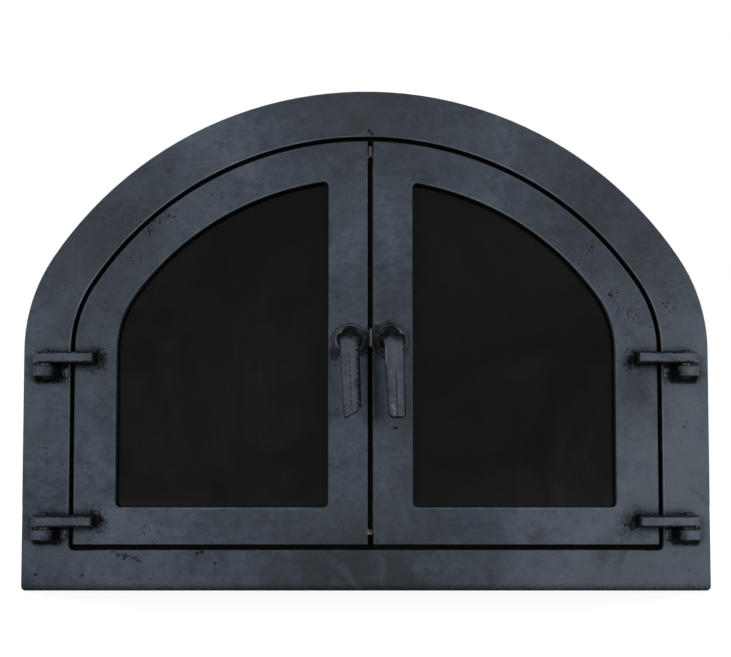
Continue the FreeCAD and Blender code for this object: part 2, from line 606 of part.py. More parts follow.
def hinge_arms(body, side):
    """Two hinge arms on a leaf: an eye, a straight bar and a hollow curve down to the leaf's face."""
    pin, inner = f"({side} * {PIN_X})", f"({side} * ({PIN_X} - dims.arm_reach))"
    root = f"({side} * ({LEAF_HALF} - dims.arm_edge_inset))"
    front, back = f"({PIN_Y} - dims.knuckle_radius)", f"({PIN_Y} + dims.knuckle_radius)"
    face = "(-dims.flange_thickness)"
    buried = f"({face} + dims.root_depth)"
    foot = f"({inner} - {side} * dims.arm_foot_radius)"
    foot_start = f"({face} - dims.arm_foot_radius)"
    eye = ((pin, PIN_Y), "dims.knuckle_radius")
    corners = [(pin, front), (inner, front), (inner, foot_start), (foot, face), (foot, buried),
               (root, buried), (root, back), (pin, back), (f"{pin} + {side} * dims.knuckle_radius", PIN_Y)]
    plan = plan_sketch(body, "arm_plan", ARM_LOW)
    loop(plan, corners, {2: ((foot, foot_start), "dims.arm_foot_radius"), 7: eye, 8: eye})
    circle(plan, (pin, PIN_Y), "dims.pin_diameter / 2 + dims.pin_running_fit")
    arm = pad(body, "arm", plan, "dims.arm_height")
    stack_upwards(body, "upper_arm", [arm], "dims.hinge_spacing")
    foremost = value(front)
    levels = [value(f"{ARM_LOW} + {step} * dims.arm_height + {floor} * dims.hinge_spacing")
              for step in (0, 1) for floor in (0, 1)]
    fillet(body, "arm_rims", "dims.arm_edge_radius",
           lambda edge: flat_at(edge, "Y", foremost) and any(flat_at(edge, "Z", level) for level in levels))


def clip_stations(side):
    """Screw of each glass clip, as x, height and the (x, z) direction towards the glass."""
    jamb = f"{side} * ({WINDOW_HALF} + {CLIP_SCREW_OUT})"
    stile = f"{glass_inner(side)} - {side} * {CLIP_SCREW_GAP}"
    foot = f"{WINDOW_BOTTOM} - {CLIP_SCREW_OUT}"
    first = f"{WINDOW_BOTTOM} + dims.clip_end_inset"
    upwards, outwards, inwards = ("0", "1"), (f"{side}", "0"), (f"{-side}", "0")
    stations = [
        (f"{side} * ({WINDOW_HALF} - dims.clip_end_inset)", foot, upwards),
        (f"{window_inner(side)} + {side} * dims.clip_end_inset", foot, upwards),
        (jamb, first, inwards),
        (jamb, "dims.springing_height", inwards),
        (stile, first, outwards),
    ]
    crown = f"({WINDOW_RADIUS} + {CLIP_SCREW_OUT})"
    for share in ("dims.clip_low_share", "dims.clip_high_share"):
        across = f"({side} * {share} * {LEAF_HALF} / {crown})"
        up = f"sqrt(1 - {across} ^ 2)"
        stations.append((f"{across} * {crown}", f"{CROWN_CENTRE} + {up} * {crown}", (f"-{across}", f"-{up}")))
    return stations


def strip_screw_stations():
    """Screws of the meeting strip."""
    x = f"({strip_edge()} + {meeting_edge(LEFT)}) / 2"
    heights = [f"{STRIP_LOW} + dims.strip_screw_end", "dims.shaft_height - dims.strip_screw_clear",
               "dims.shaft_height + dims.strip_screw_clear", f"{STRIP_HIGH} - dims.strip_screw_end"]
    return [(x, height) for height in heights]


def strip_tip():
    """Meeting strip's free edge."""
    return f"({meeting_edge(RIGHT)} - dims.strip_clearance)"


def strip_edge():
    """Meeting strip's edge on the leaf."""
    return f"({shaft_x(LEFT)} + dims.rear_boss_radius + dims.strip_boss_clearance)"


def leaf(side):
    """Cast leaf: plate with a window, hinge arms, handle bosses and clip bosses."""
    body = new_body(f"{SIDE_NAMES[side]}_leaf")
    edge_x, window_x = meeting_edge(side), window_inner(side)
    outline = front_sketch(body, "leaf_outline", LEAF_BACK)
    half_arch(outline, side, edge_x, LEAF_HALF, LEAF_RADIUS, LEAF_BOTTOM)
    pad(body, "plate", outline, "dims.leaf_thickness")
    outer, meeting = side * value(LEAF_HALF), value(edge_x)
    front = value("-dims.flange_thickness")
    fillet(body, "leaf_corners", "dims.leaf_corner_radius",
           lambda edge: through_corner(edge, [(outer, value(LEAF_BOTTOM))]))
    fillet(body, "outline_edges", "dims.edge_radius",
           lambda edge: flat_at(edge, "Y", front) and not flat_at(edge, "X", meeting))
    fillet(body, "meeting_edges", "dims.edge_radius",
           lambda edge: flat_at(edge, "Y", front) and flat_at(edge, "X", meeting))
    window = front_sketch(body, "window_outline", LEAF_BACK)
    half_arch(window, side, window_x, WINDOW_HALF, WINDOW_RADIUS, WINDOW_BOTTOM)
    pocket(body, "window", window)
    inner, glazed = value(window_x), side * value(WINDOW_HALF)
    radius, low = value(WINDOW_RADIUS), value(WINDOW_BOTTOM)
    top = value(CROWN_CENTRE) + math.sqrt(radius ** 2 - inner ** 2)
    fillet(body, "window_corners", "dims.window_corner_radius",
           lambda edge: through_corner(edge, [(glazed, low), (inner, low), (inner, top)]))
    fillet(body, "window_edges", "dims.edge_radius",
           lambda edge: flat_at(edge, "Y", front) and within(edge, inner, glazed, low))
    hinge_arms(body, side)
    handle_boss(body, side)
    clip_bosses(body, side)
    if side == LEFT:
        holes = front_sketch(body, "strip_screw_plan", LEAF_BACK)
        for spot in strip_screw_stations():
            circle(holes, spot, "dims.strip_screw / 2 + dims.screw_fit")
        pocket(body, "strip_screw_holes", holes, "dims.strip_screw_depth", backwards=True)
    else:
        keeper_pad(body)
    return body


def handle_boss(body, side):
    """Round bosses in front of and behind the leaf, bored for the handle spindle."""
    axis = (shaft_x(side), "dims.shaft_height")
    front = front_sketch(body, "front_boss_outline", "-dims.flange_thickness + dims.root_depth")
    circle(front, axis, "dims.boss_radius")
    pad(body, "front_boss", front, "dims.boss_height + dims.root_depth")
    boss_face = value(BOSS_FACE)
    fillet(body, "front_boss_edge", "dims.edge_radius", lambda edge: flat_at(edge, "Y", boss_face))
    back = front_sketch(body, "rear_boss_outline", f"{LEAF_BACK} - dims.root_depth")
    circle(back, axis, "dims.rear_boss_radius")
    pad(body, "rear_boss", back, f"{REAR_BOSS_FACE} - {LEAF_BACK} + dims.root_depth", backwards=True)
    bore = front_sketch(body, "spindle_bore_outline", LEAF_BACK)
    circle(bore, axis, "dims.spindle_diameter / 2 + dims.spindle_fit")
    pocket(body, "spindle_bore", bore)


def clip_bosses(body, side):
    """Tapped bosses on the leaf's back, level with the back of the glass."""
    bosses = front_sketch(body, "clip_boss_outline", f"{LEAF_BACK} - dims.root_depth")
    holes = front_sketch(body, "clip_hole_outline", GLASS_BACK)
    for x, height, _ in clip_stations(side):
        circle(bosses, (x, height), "dims.clip_boss_radius")
        circle(holes, (x, height), "dims.clip_screw / 2 + dims.screw_fit")
    pad(body, "clip_bosses", bosses, f"{GLASS_BACK} - {LEAF_BACK} + dims.root_depth", backwards=True)
    pocket(body, "clip_holes", holes, "dims.clip_screw_depth", backwards=True)


def keeper_pad(body):
    """Pad on the right leaf's back that the left latch tongue closes on."""
    inner = f"({meeting_edge(RIGHT)} + dims.keeper_inset)"
    outline = front_sketch(body, "keeper_outline", f"{LEAF_BACK} - dims.root_depth")
    rectangle(outline, (inner, "dims.shaft_height + dims.tongue_offset"),
              (f"{inner} + dims.keeper_width", "dims.shaft_height + dims.tongue_hub_radius"))
    height = f"{TONGUE_FRONT} - dims.keeper_clearance - {LEAF_BACK} + dims.root_depth"
    pad(body, "keeper_pad", outline, height, backwards=True)


def glass_gasket(side):
    """Flat tape between the leaf and its glass."""
    body = new_body(f"{SIDE_NAMES[side]}_glass_gasket")
    ring = front_sketch(body, "gasket_outline", LEAF_BACK)
    pane(ring, side, f"({window_inner(side)} - {side} * dims.gasket_inset)", "dims.gasket_inset")
    pane(ring, side, f"({glass_inner(side)} + {side} * dims.gasket_edge)",
         "(dims.glass_overlap - dims.gasket_edge)")
    pad(body, "gasket", ring, "dims.gasket_thickness", backwards=True)
    return body


def pane(sketch, side, inner, out):
    """Outline of the window, widened at the jamb, crown and bottom, with its own edge at the meeting gap."""
    half_arch(sketch, side, inner, f"({WINDOW_HALF} + {out})", f"({WINDOW_RADIUS} + {out})",
              f"({WINDOW_BOTTOM} - {out})")


def glass(side):
    """Pane behind the leaf."""
    body = new_body(f"{SIDE_NAMES[side]}_glass")
    outline = front_sketch(body, "glass_outline", GLASS_FRONT)
    pane(outline, side, glass_inner(side), "dims.glass_overlap")
    pad(body, "glass", outline, "dims.glass_thickness", backwards=True)
    return body


def glass_clips(side):
    """Flat clips, each screwed to its boss and lying on the glass."""
    body = new_body(f"{SIDE_NAMES[side]}_glass_clips")
    outline = front_sketch(body, "clip_outline", GLASS_BACK)
    nose = f"({CLIP_SCREW_GAP} + dims.clip_grip)"
    half = "dims.clip_width / 2"
    for x, height, (ahead_x, ahead_z) in clip_stations(side):
        corners = []
        for along, across in [("-dims.clip_tail", f"-{half}"), (nose, f"-{half}"), (nose, half),
                              ("-dims.clip_tail", half)]:
            corners.append((f"{x} + ({along}) * ({ahead_x}) - ({across}) * ({ahead_z})",
                            f"{height} + ({along}) * ({ahead_z}) + ({across}) * ({ahead_x})"))
        loop(outline, corners)
        circle(outline, (x, height), "dims.clip_screw / 2 + dims.screw_pass")
    pad(body, "clips", outline, "dims.clip_thickness", backwards=True)
    return body


def screw_group(label, spots, seat, sizes):
    """Group of like screws driven forwards, with their heads on a seat: shank, reach, head, head height."""
    shank, reach, head, head_height = sizes
    body = new_body(label)
    shanks = front_sketch(body, "shank_section", seat)
    heads = front_sketch(body, "head_section", seat)
    for spot in spots:
        circle(shanks, spot, f"{shank} / 2")
        circle(heads, spot, f"{head} / 2")
    pad(body, "heads", heads, head_height, backwards=True)
    pad(body, "shanks", shanks, reach)
    return body


def clip_screws(side):
    """Screws of one leaf's glass clips."""
    spots = [(x, height) for x, height, _ in clip_stations(side)]
    seat = f"({GLASS_BACK} + dims.clip_thickness)"
    sizes = ("dims.clip_screw", "dims.clip_screw_depth + dims.clip_thickness", "dims.clip_head",
             "dims.clip_head_height")
    return screw_group(f"{SIDE_NAMES[side]}_clip_screws", spots, seat, sizes)


def meeting_strip():
    """Flat bar on the left leaf's back, behind the meeting gap."""
    body = new_body("meeting_strip")
    outline = front_sketch(body, "strip_outline", LEAF_BACK)
    rectangle(outline, (strip_edge(), STRIP_LOW), (strip_tip(), STRIP_HIGH))
    for spot in strip_screw_stations():
        circle(outline, spot, "dims.strip_screw / 2 + dims.screw_pass")
    pad(body, "strip", outline, "dims.strip_thickness", backwards=True)
    return body


def meeting_strip_screws():
    """Screws that hold the meeting strip."""
    sizes = ("dims.strip_screw", "dims.strip_screw_depth + dims.strip_thickness", "dims.strip_head",
             "dims.strip_head_height")
    return screw_group("meeting_strip_screws", strip_screw_stations(), STRIP_BACK, sizes)


def meeting_seal():
    """Cord in the meeting gap in front of the strip, in two lengths with a break at the handles."""
    body = new_body("meeting_seal")
    outline = front_sketch(body, "cord_outline", LEAF_BACK)
    near, tip = meeting_edge(LEFT), f"({meeting_edge(RIGHT)} - dims.cord_clearance)"
    rectangle(outline, (near, STRIP_LOW), (tip, "dims.shaft_height - dims.cord_break_below"))
    rectangle(outline, (near, "dims.shaft_height + dims.cord_break_above"), (tip, STRIP_HIGH))
    pad(body, "cord", outline, "dims.cord_depth")
    return body


def rosette(side):
    """Dished ring round the handle's neck, fixed on the boss."""
    body = new_body(f"{SIDE_NAMES[side]}_rosette")
    section = plan_sketch(body, "ring_section")
    bore = "(dims.collar_radius + dims.rosette_clearance)"
    loop(section, [(bore, "0"), ("dims.rosette_radius", "0"), ("dims.rosette_radius", "-dims.rosette_lip"),
                   (f"{bore} + dims.rosette_lip", "-dims.rosette_height"), (bore, "-dims.rosette_height")])
    revolve(body, "ring", section, "Y_Axis", "360")
    put(body, shaft_x(side), BOSS_FACE, "dims.shaft_height")
    return body


def revolve(body, name, sketch, role, angle):
    """Turns a sketch about an origin axis of its body."""
    feature = body.newObject("PartDesign::Revolution", name)
    feature.Profile = sketch
    feature.ReferenceAxis = (origin_feature(body, role), [""])
    feature.setExpression("Angle", angle)
    return feature


def bar_section(sketch, middle, width, depth, outward):
    """Section of the lever bar: a ridge on its front, chamfers along its back; outward is +1 or -1 in y."""
    ridge, centre = middle
    right, left = f"{ridge} + {width} / 2", f"{ridge} - {width} / 2"
    front = f"{centre} + {outward} * {depth} / 2"
    cheek = f"{front} - {outward} * dims.bar_ridge"
    back = f"{centre} - {outward} * {depth} / 2"
    flank = f"{back} + {outward} * dims.bar_chamfer"
    loop(sketch, [(ridge, front), (right, cheek), (right, flank), (f"{right} - dims.bar_chamfer", back),
                  (f"{left} + dims.bar_chamfer", back), (left, flank), (left, cheek)])


def handle(side):
    """Lever handle about its own axis: spindle, collar, neck, bend and a tapering ridged lever."""
    body = new_body(f"{SIDE_NAMES[side]}_handle")
    round_end = f"({TONGUE_FRONT} - {BOSS_FACE})"
    steps = [
        ("spindle", "dims.spindle_diameter / 2", round_end),
        ("stud", "dims.spindle_stud / 2", f"{NUT_FRONT} - {BOSS_FACE} + dims.nut_height + dims.stud_tail"),
    ]
    collar = front_sketch(body, "collar_section", "-dims.spindle_play")
    circle(collar, ("0", "0"), "dims.collar_radius")
    pad(body, "collar", collar, "dims.collar_length")
    for name, radius, end in steps:
        section = front_sketch(body, f"{name}_section", "-dims.spindle_play - dims.root_depth")
        circle(section, ("0", "0"), radius)
        pad(body, name, section, f"{end} + dims.spindle_play + dims.root_depth", backwards=True)
    square = front_sketch(body, "square_section", round_end)
    half = "dims.spindle_square / 2"
    rectangle(square, (f"-{half}", f"-{half}"), (half, half))
    pad(body, "square", square, "dims.tongue_thickness", backwards=True)
    lever_bar(body)
    put(body, shaft_x(side), BOSS_FACE, "dims.shaft_height")
    return body


def lever_bar(body):
    """Neck, quarter bend and a tapering lever that leans a little."""
    neck = front_sketch(body, "neck_section", "-dims.neck_length")
    bar_section(neck, ("0", "0"), "dims.bar_width", "dims.bar_depth", 1)
    reach = "dims.neck_length - dims.collar_length - dims.spindle_play + dims.root_depth"
    pad(body, "neck", neck, reach, backwards=True)
    bend = front_sketch(body, "bend_section", "-dims.neck_length")
    bar_section(bend, ("0", "0"), "dims.bar_width", "dims.bar_depth", 1)
    hub = bend.addGeometry(Part.LineSegment(Vector(-1, -value("dims.bend_radius"), 0),
                                            Vector(1, -value("dims.bend_radius"), 0)), True)
    bend.addConstraint(Sketcher.Constraint("Horizontal", hub))
    datum(bend, "DistanceX", (-1, 1, hub, 1), "-dims.bar_width")
    datum(bend, "DistanceX", (-1, 1, hub, 2), "dims.bar_width")
    datum(bend, "DistanceY", (-1, 1, hub, 1), "-dims.bend_radius")
    turn = body.newObject("PartDesign::Revolution", "bend")
    turn.Profile = bend
    turn.ReferenceAxis = (bend, ["Axis0"])
    turn.Angle = 90
    middle = "(-dims.neck_length - dims.bend_radius)"
    top = plan_sketch(body, "lever_top", "-dims.bend_radius")
    bar_section(top, ("0", middle), "dims.bar_width", "dims.bar_depth", -1)
    tip = plan_sketch(body, "lever_tip", "-dims.lever_drop")
    bar_section(tip, ("dims.lever_lean", middle), "dims.tip_width", "dims.tip_depth", -1)
    lever = body.newObject("PartDesign::AdditiveLoft", "lever")
    lever.Profile = top
    lever.Sections = [tip]
    lever.Ruled = True
    low = value("-dims.lever_drop")
    fillet(body, "lever_end", "dims.tip_radius", lambda edge: flat_at(edge, "Z", low))


def latch_tongue(side):
    """Tongue on the spindle's square; its bar stands beside the axis so that both tongues can close."""
    body = new_body(f"{SIDE_NAMES[side]}_latch_tongue")
    hub = front_sketch(body, "hub_outline")
    circle(hub, ("0", "0"), "dims.tongue_hub_radius")
    pad(body, "hub", hub, "dims.tongue_thickness", backwards=True)
    bar = front_sketch(body, "bar_outline")
    rectangle(bar, ("-dims.tongue_hub_radius", "0"), ("-dims.tongue_offset", "dims.tongue_reach"))
    pad(body, "bar", bar, "dims.tongue_thickness", backwards=True)
    tip = value("dims.tongue_reach")
    edges = [(value("-dims.tongue_hub_radius"), tip), (value("-dims.tongue_offset"), tip)]
    fillet(body, "tip_corners", "dims.tongue_tip_radius", lambda edge: through_corner(edge, edges))
    square = front_sketch(body, "square_outline")
    half = "(dims.spindle_square / 2 + dims.tongue_fit)"
    rectangle(square, (f"-{half}", f"-{half}"), (half, half))
    pocket(body, "square_hole", square)
    put(body, shaft_x(side), TONGUE_FRONT, "dims.shaft_height")
    return body


def spindle_washer(side):
    """Washer between the leaf's rear boss and the tongue."""
    body = new_body(f"{SIDE_NAMES[side]}_spindle_washer")
    section = front_sketch(body, "washer_section")
    circle(section, ("0", "0"), "dims.spindle_washer_radius")
    circle(section, ("0", "0"), "dims.spindle_diameter / 2 + dims.spindle_fit")
    pad(body, "washer", section, "dims.spindle_washer_thickness", backwards=True)
    put(body, shaft_x(side), WASHER_FRONT, "dims.shaft_height")
    return body


def spindle_nut(side):
    """Hexagon nut that closes the handle's stack."""
    body = new_body(f"{SIDE_NAMES[side]}_spindle_nut")
    section = front_sketch(body, "nut_section")
    corner = "(dims.nut_flats / 2 / cos(30))"
    loop(section, [(f"{corner} * cos({60 * turn})", f"{corner} * sin({60 * turn})") for turn in range(6)])
    circle(section, ("0", "0"), "dims.spindle_stud / 2 + dims.screw_fit")
    pad(body, "nut", section, "dims.nut_height", backwards=True)
    put(body, shaft_x(side), NUT_FRONT, "dims.shaft_height")
    return body


def build():
    """Every piece of the door."""
    pieces = [outer_frame(), wall_collar(), stop_ring(), frame_seal()]
    for side in (LEFT, RIGHT):
        for level, height in (("lower", "dims.lug_low"), ("upper", "dims.lug_low + dims.hinge_spacing")):
            name = f"{SIDE_NAMES[side]}_{level}_hinge"
            pieces.append(hinge_lug(f"{name}_lug", side, height))
            pieces.append(hinge_pin(f"{name}_pin", side, height))
            pieces.append(hinge_washer(f"{name}_washer", side, height))
        pieces += [leaf(side), glass_gasket(side), glass(side), glass_clips(side), clip_screws(side)]
        pieces += [rosette(side), handle(side), spindle_washer(side), latch_tongue(side), spindle_nut(side)]
    pieces += [meeting_strip(), meeting_strip_screws(), meeting_seal()]
    return pieces


def check(pieces):
    """Stops on a failed object or a bad shape."""
    doc.recompute()
    failed = [item.Name for item in doc.Objects if {"Invalid", "Error"} & set(item.State)]
    bad = [piece.Label for piece in pieces if piece.Shape.isNull() or not piece.Shape.isValid()]
    if failed or bad:
        raise RuntimeError(f"failed objects {failed}, bad shapes {bad}")


def main():
    """Builds the door and writes one file per piece."""
    pieces = build()
    check(pieces)
    os.makedirs("parts", exist_ok=True)
    for piece in pieces:
        piece.Shape.exportStep(f"parts/{piece.Label}.step")
        box = piece.Shape.BoundBox
        corners = [round(number, 2) for number in
                   (box.XMin, box.YMin, box.ZMin, box.XMax, box.YMax, box.ZMax)]
        print(piece.Label, len(piece.Shape.Solids), "solids", round(piece.Shape.Volume), "mm3", corners)


main()
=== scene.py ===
"""Looks of an arched double-leaf stove door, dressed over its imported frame.

Metres, in the frame's own axes: +X right, +Y into the wall, +Z up; the door faces -Y.
"""
import json
import math

import bmesh
import bpy
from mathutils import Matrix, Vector
from mathutils.noise import noise as bumpiness


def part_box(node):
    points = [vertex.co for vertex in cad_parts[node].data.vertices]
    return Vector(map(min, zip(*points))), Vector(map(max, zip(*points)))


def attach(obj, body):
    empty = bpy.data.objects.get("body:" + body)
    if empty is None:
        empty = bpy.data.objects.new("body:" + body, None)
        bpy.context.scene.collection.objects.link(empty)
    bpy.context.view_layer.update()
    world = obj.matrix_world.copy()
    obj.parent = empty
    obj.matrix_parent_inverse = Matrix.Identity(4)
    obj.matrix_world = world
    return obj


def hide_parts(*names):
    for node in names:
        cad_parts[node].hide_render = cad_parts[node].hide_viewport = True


# Camera: low in front of the door, as in the photograph
IMAGE_WIDTH = 731
FOCAL_PIXELS = 1361.0
SENSOR_WIDTH = 0.036
MM_PER_METRE = 1000
CAMERA_DISTANCE = 1.2
CAMERA_HEIGHT = 0.105
CAMERA_SIDE = -0.0004
CAMERA_PITCH = math.radians(3.17)
CAMERA_SHIFT = 0.09

# Light: an even dim surround, two soft lamps in front and two behind, with their places and watts
SURROUND = 0.30
LAMP_SIZE = 1.0
LAMP_TARGET = Vector((0.0, 0.0, 0.2))
LAMPS = [
    ("front_right", (1.40, -2.60, 0.40), 40.0),
    ("front_left", (-1.40, -2.60, 0.50), 32.0),
    ("rear_right", (1.60, 2.40, 0.70), 34.0),
    ("rear_left", (-1.60, 2.40, 0.70), 34.0),
]

# Floor: size, tone, glow near the door and further out, and the distances between which it changes
FLOOR_SIZE = 60.0
FLOOR_TONE = 0.72
FLOOR_GLOW = 0.72
FAR_GLOW = 0.82
GLOW_STARTS = 0.8
GLOW_ENDS = 2.5

# Colours of the paint, from dark to light, of the marks on it, and of its painted shade and highlights
PAINT = (0.022, 0.029, 0.040), (0.089, 0.110, 0.141)
GRIP_PAINT = (0.030, 0.037, 0.046), (0.094, 0.112, 0.134)
GREY_PATCH = (0.048, 0.057, 0.064)
WORN_PATCH = (0.082, 0.100, 0.115)
SMUDGE = (0.024, 0.025, 0.029)
# Dark of stains, also used for painted shade at the crown and shoulders
STAIN_AND_SHADE = (0.026, 0.030, 0.034)
# Painted highlight along hard edges
EDGE_HIGHLIGHT = (0.125, 0.140, 0.150)
PIT = (0.004, 0.005, 0.006)
# Black of soot, also used for painted shade
SHADE_AND_SOOT = (0.0012, 0.0013, 0.0016)
# Bare iron, also used for painted highlights
BARE_IRON_AND_HIGHLIGHT = (0.20, 0.212, 0.22)

# Colours of the other materials, from dark to light
BARE_STEEL = (0.10, 0.10, 0.10), (0.34, 0.34, 0.34)
BLACK_STEEL = (0.004, 0.004, 0.005), (0.030, 0.030, 0.032)
STRIP_STEEL = (0.004, 0.004, 0.005), (0.020, 0.020, 0.021)
RUBBED_STEEL = (0.13, 0.13, 0.128)
GLASS = (0.0012, 0.0012, 0.0013), (0.0085, 0.0083, 0.0080)
FIBRE = (0.0012, 0.0012, 0.0012), (0.011, 0.011, 0.0105)
CLEAN_FIBRE = (0.15, 0.155, 0.16)

# Finish: rounding of hard edges for the light, reach of painted shade out of corners, shine of paint and
# glass
EDGE_ROUNDING = 0.0026
CORNER_REACH = 0.012
CORNER_SAMPLES = 8
PAINT_SHINE = 0.04
GLASS_SHINE = 0.075

# Arches of the flange, the leaves and the glass, the windows' lower edge and the plane of the front
SPRINGING = 0.210
CROWN_CENTRE = 0.110
OPENING_HALF = 0.259
OPENING_CROWN = 0.289
WINDOW_CROWN = 0.2515
WINDOW_SILL = 0.0725
FRONT = -0.010

# Thin lines of painted highlight: half their width, fading and full, and their middles
LINE_FADES = 0.0009
LINE_FULL = 0.0004
OPENING_LINE = 0.0006
SILL_LINE = WINDOW_SILL - 0.0012
ARCH_LINE = WINDOW_CROWN + 0.0011

# Hinges: lower and upper face of an arm above its lug's top, plane of its front, fade of its black lines
ARM_FOOT = 0.002
ARM_TOP = 0.012
ARM_FRONT = -0.0325
ARM_LINE = (0.0021, 0.0013)

# Places at a hinge: distance inward from its lug's inner end, depth, and height above the lug's top
HINGE_MIDDLE = (0.0, -0.026, 0.004)
ARM_END = (0.024, -0.015, 0.007)
ARM_CORNER = (0.016, -0.012, 0.017)
LUG_SIDE = (-0.005, -0.022, -0.006)
PIN_EYE = (-0.0215, -0.024, 0.007)

# Tapes: length of their steps, pitch of their weave, roll of their edges and limit of their mitres
TAPE_STEP = 0.0015
TAPE_WEAVE = 0.0022
TAPE_ROLL = 0.6
MITRE_LIMIT = 0.3

# Each tape: width, spread past its path, share of its thickness that its edges fall, points across
FRAME_TAPE_WIDTH = 0.010
FRAME_TAPE_SPREAD = 0.0009
FRAME_TAPE_FALL = 0.28
FRAME_TAPE_POINTS = 7
GLASS_TAPE_WIDTH = 0.0055
GLASS_TAPE_SPREAD = 0.0
GLASS_TAPE_FALL = 0.15
GLASS_TAPE_POINTS = 5

# Meeting cord: its strands, lay and weave, play at the right leaf, ends past the strip, and lip
STRANDS = 4
STRAND_SIDES = 8
STRAND_SHARE = 0.52
ORBIT_SHARE = 0.48
CORD_LAY = 0.012
CORD_STEP = 0.0008
CORD_WEAVE = 0.0016
CORD_EASE = 0.00002
CORD_FOOT = 0.0045
CORD_HEAD = 0.0095
CLEAN_END = 0.005
LIP_STEP = 0.002
LIP_INSET = 0.0006
LIP_CORNERS = 4

# Lever handles: half their width and its taper, lean of their tips, depth, shifts and lower ends
LEVER_HALF = 0.0085
LEVER_TAPER = 0.001
LEVER_LEAN = 0.0024
LEVER_DEPTH = 0.013
LEVER_ASIDE = {"left": 0.0007, "right": 0.0020}
LEVER_SHORTER = {"left": 0.0010, "right": 0.0034}
TIP_SHARE = 0.22
LEFT_SLANT = 0.009
RIGHT_CORNERS = 0.008

# Forging of the levers: size of their mesh's faces, smoothing, distance kept from the ring, teeth of the
# left one's edge, and hammer marks as fineness and depth with the highest they may stand
LEVER_VOXEL = 0.0006
LEVER_SMOOTHINGS = 9
RING_CLEARANCE = 0.0005
TEETH = 33
HAMMER_MARKS = [(110.0, 0.0003), (420.0, 0.00012)]
HAMMER_LIMIT = 0.0002

# Hood where a lever bends into the door: neck inside it, its radius, depths and heights over which it
# swells, and how far its painted shade comes down on the left and the right
NECK_HALF = 0.0085
NECK_RISE = 0.007
HOOD_RADIUS = 0.0112
HOOD_DEPTHS = (-0.047, -0.041)
HOOD_HEIGHTS = (-0.014, -0.005)
HOOD_SHADE_LEFT = 0.0045
HOOD_SHADE_RIGHT = 0.002

# Painted highlight as a crescent on the ring round each hood
CRESCENT_RADIUS = 0.0118
CRESCENT_TURNS = (math.radians(0.0), math.radians(22.0), math.radians(44.0))

# Marks on the door's front: painted shade at the crown and shoulders with a stain at the sill, pale places,
# stains, smudges, specks, painted shadow by the handles, chips, pits and a hairline crack
WIDE_SHADE_AND_STAIN = [(0.0, -0.01, 0.43), (0.0, -0.01, 0.005), (0.225, -0.01, 0.335), (-0.24, -0.01, 0.32)]
PALE_PLACES = [(-0.018, -0.01, 0.10), (0.20, -0.01, 0.012), (-0.18, -0.01, 0.015), (0.27, -0.01, 0.10)]
SMALL_STAINS = [(0.040, -0.01, 0.10), (0.040, -0.01, 0.14), (0.042, -0.01, 0.25), (0.235, -0.01, 0.17)]
SMUDGES = [(0.205, -0.01, 0.031), (0.242, -0.01, 0.168), (0.052, -0.01, 0.357), (0.150, -0.01, 0.048)]
SPECKS = [(-0.267, -0.01, 0.082), (-0.268, -0.01, 0.090)]
# Painted shadow round the handle bosses and in the meeting gap beside them
HANDLE_SHADE = [
    (0.009, -0.011, 0.227), (0.0205, -0.011, 0.2305), (-0.029, -0.011, 0.207), (0.0093, -0.014, 0.219),
    (0.0100, -0.014, 0.212), (0.0005, -0.012, 0.2145), (0.0003, -0.011, 0.2235), (0.0003, -0.011, 0.2085),
]
CHIPS = [
    (-0.147, -0.01, 0.0325), (-0.1425, -0.01, 0.0335), (-0.131, -0.01, 0.0242), (-0.209, -0.01, 0.0308),
    (-0.287, -0.01, 0.0138), (-0.247, -0.01, 0.0132), (0.005, -0.01, 0.4015), (0.003, -0.01, 0.4045),
    (0.0250, -0.01, 0.1415), (0.0268, -0.01, 0.1412),
]
PITTED = [
    (-0.2026, -0.01, 0.290), (-0.1916, -0.01, 0.317), (-0.172, -0.01, 0.330), (-0.183, -0.01, 0.324),
    (0.265, -0.01, 0.2496), (0.197, -0.01, 0.300), (0.215, -0.01, 0.259), (0.2345, -0.01, 0.2426),
    (0.0435, -0.01, 0.3586), (0.225, -0.01, 0.060),
]
CRACK_START = (-0.2245, -0.01, 0.0343)
CRACK_END = (-0.193, -0.01, 0.0237)

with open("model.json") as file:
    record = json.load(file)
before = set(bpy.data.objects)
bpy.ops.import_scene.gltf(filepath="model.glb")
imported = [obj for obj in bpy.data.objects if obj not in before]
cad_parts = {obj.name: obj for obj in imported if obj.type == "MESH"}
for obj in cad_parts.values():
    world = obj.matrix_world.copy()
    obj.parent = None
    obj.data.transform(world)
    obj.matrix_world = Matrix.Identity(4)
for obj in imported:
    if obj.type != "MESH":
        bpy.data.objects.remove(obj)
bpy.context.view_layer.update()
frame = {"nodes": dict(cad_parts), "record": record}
nodes = frame["nodes"]


def connect(tree, socket, given):
    """Links a socket to another one, or sets its value."""
    if isinstance(given, bpy.types.NodeSocket):
        tree.links.new(given, socket)
    else:
        socket.default_value = given


def add(tree, kind, inputs=None, **settings):
    """Node of a tree with its settings; an input is a socket to link or a value."""
    made = tree.nodes.new(kind)
    for name, setting in settings.items():
        setattr(made, name, setting)
    for name, given in (inputs or {}).items():
        connect(tree, made.inputs[name], given)
    return made


def noise(tree, where, scale, detail=3.0, roughness=0.55, distortion=0.0):
    """Noise about 0.5 over a position."""
    inputs = {"Vector": where, "Scale": scale, "Detail": detail}
    inputs.update({"Roughness": roughness, "Distortion": distortion})
    return add(tree, "ShaderNodeTexNoise", inputs).outputs["Fac"]


def ramp(tree, amount, low, high, to_low=0.0, to_high=1.0):
    """Amount between two limits, spread over a new range and clamped."""
    inputs = {"Value": amount, "From Min": low, "From Max": high, "To Min": to_low, "To Max": to_high}
    return add(tree, "ShaderNodeMapRange", inputs).outputs["Result"]


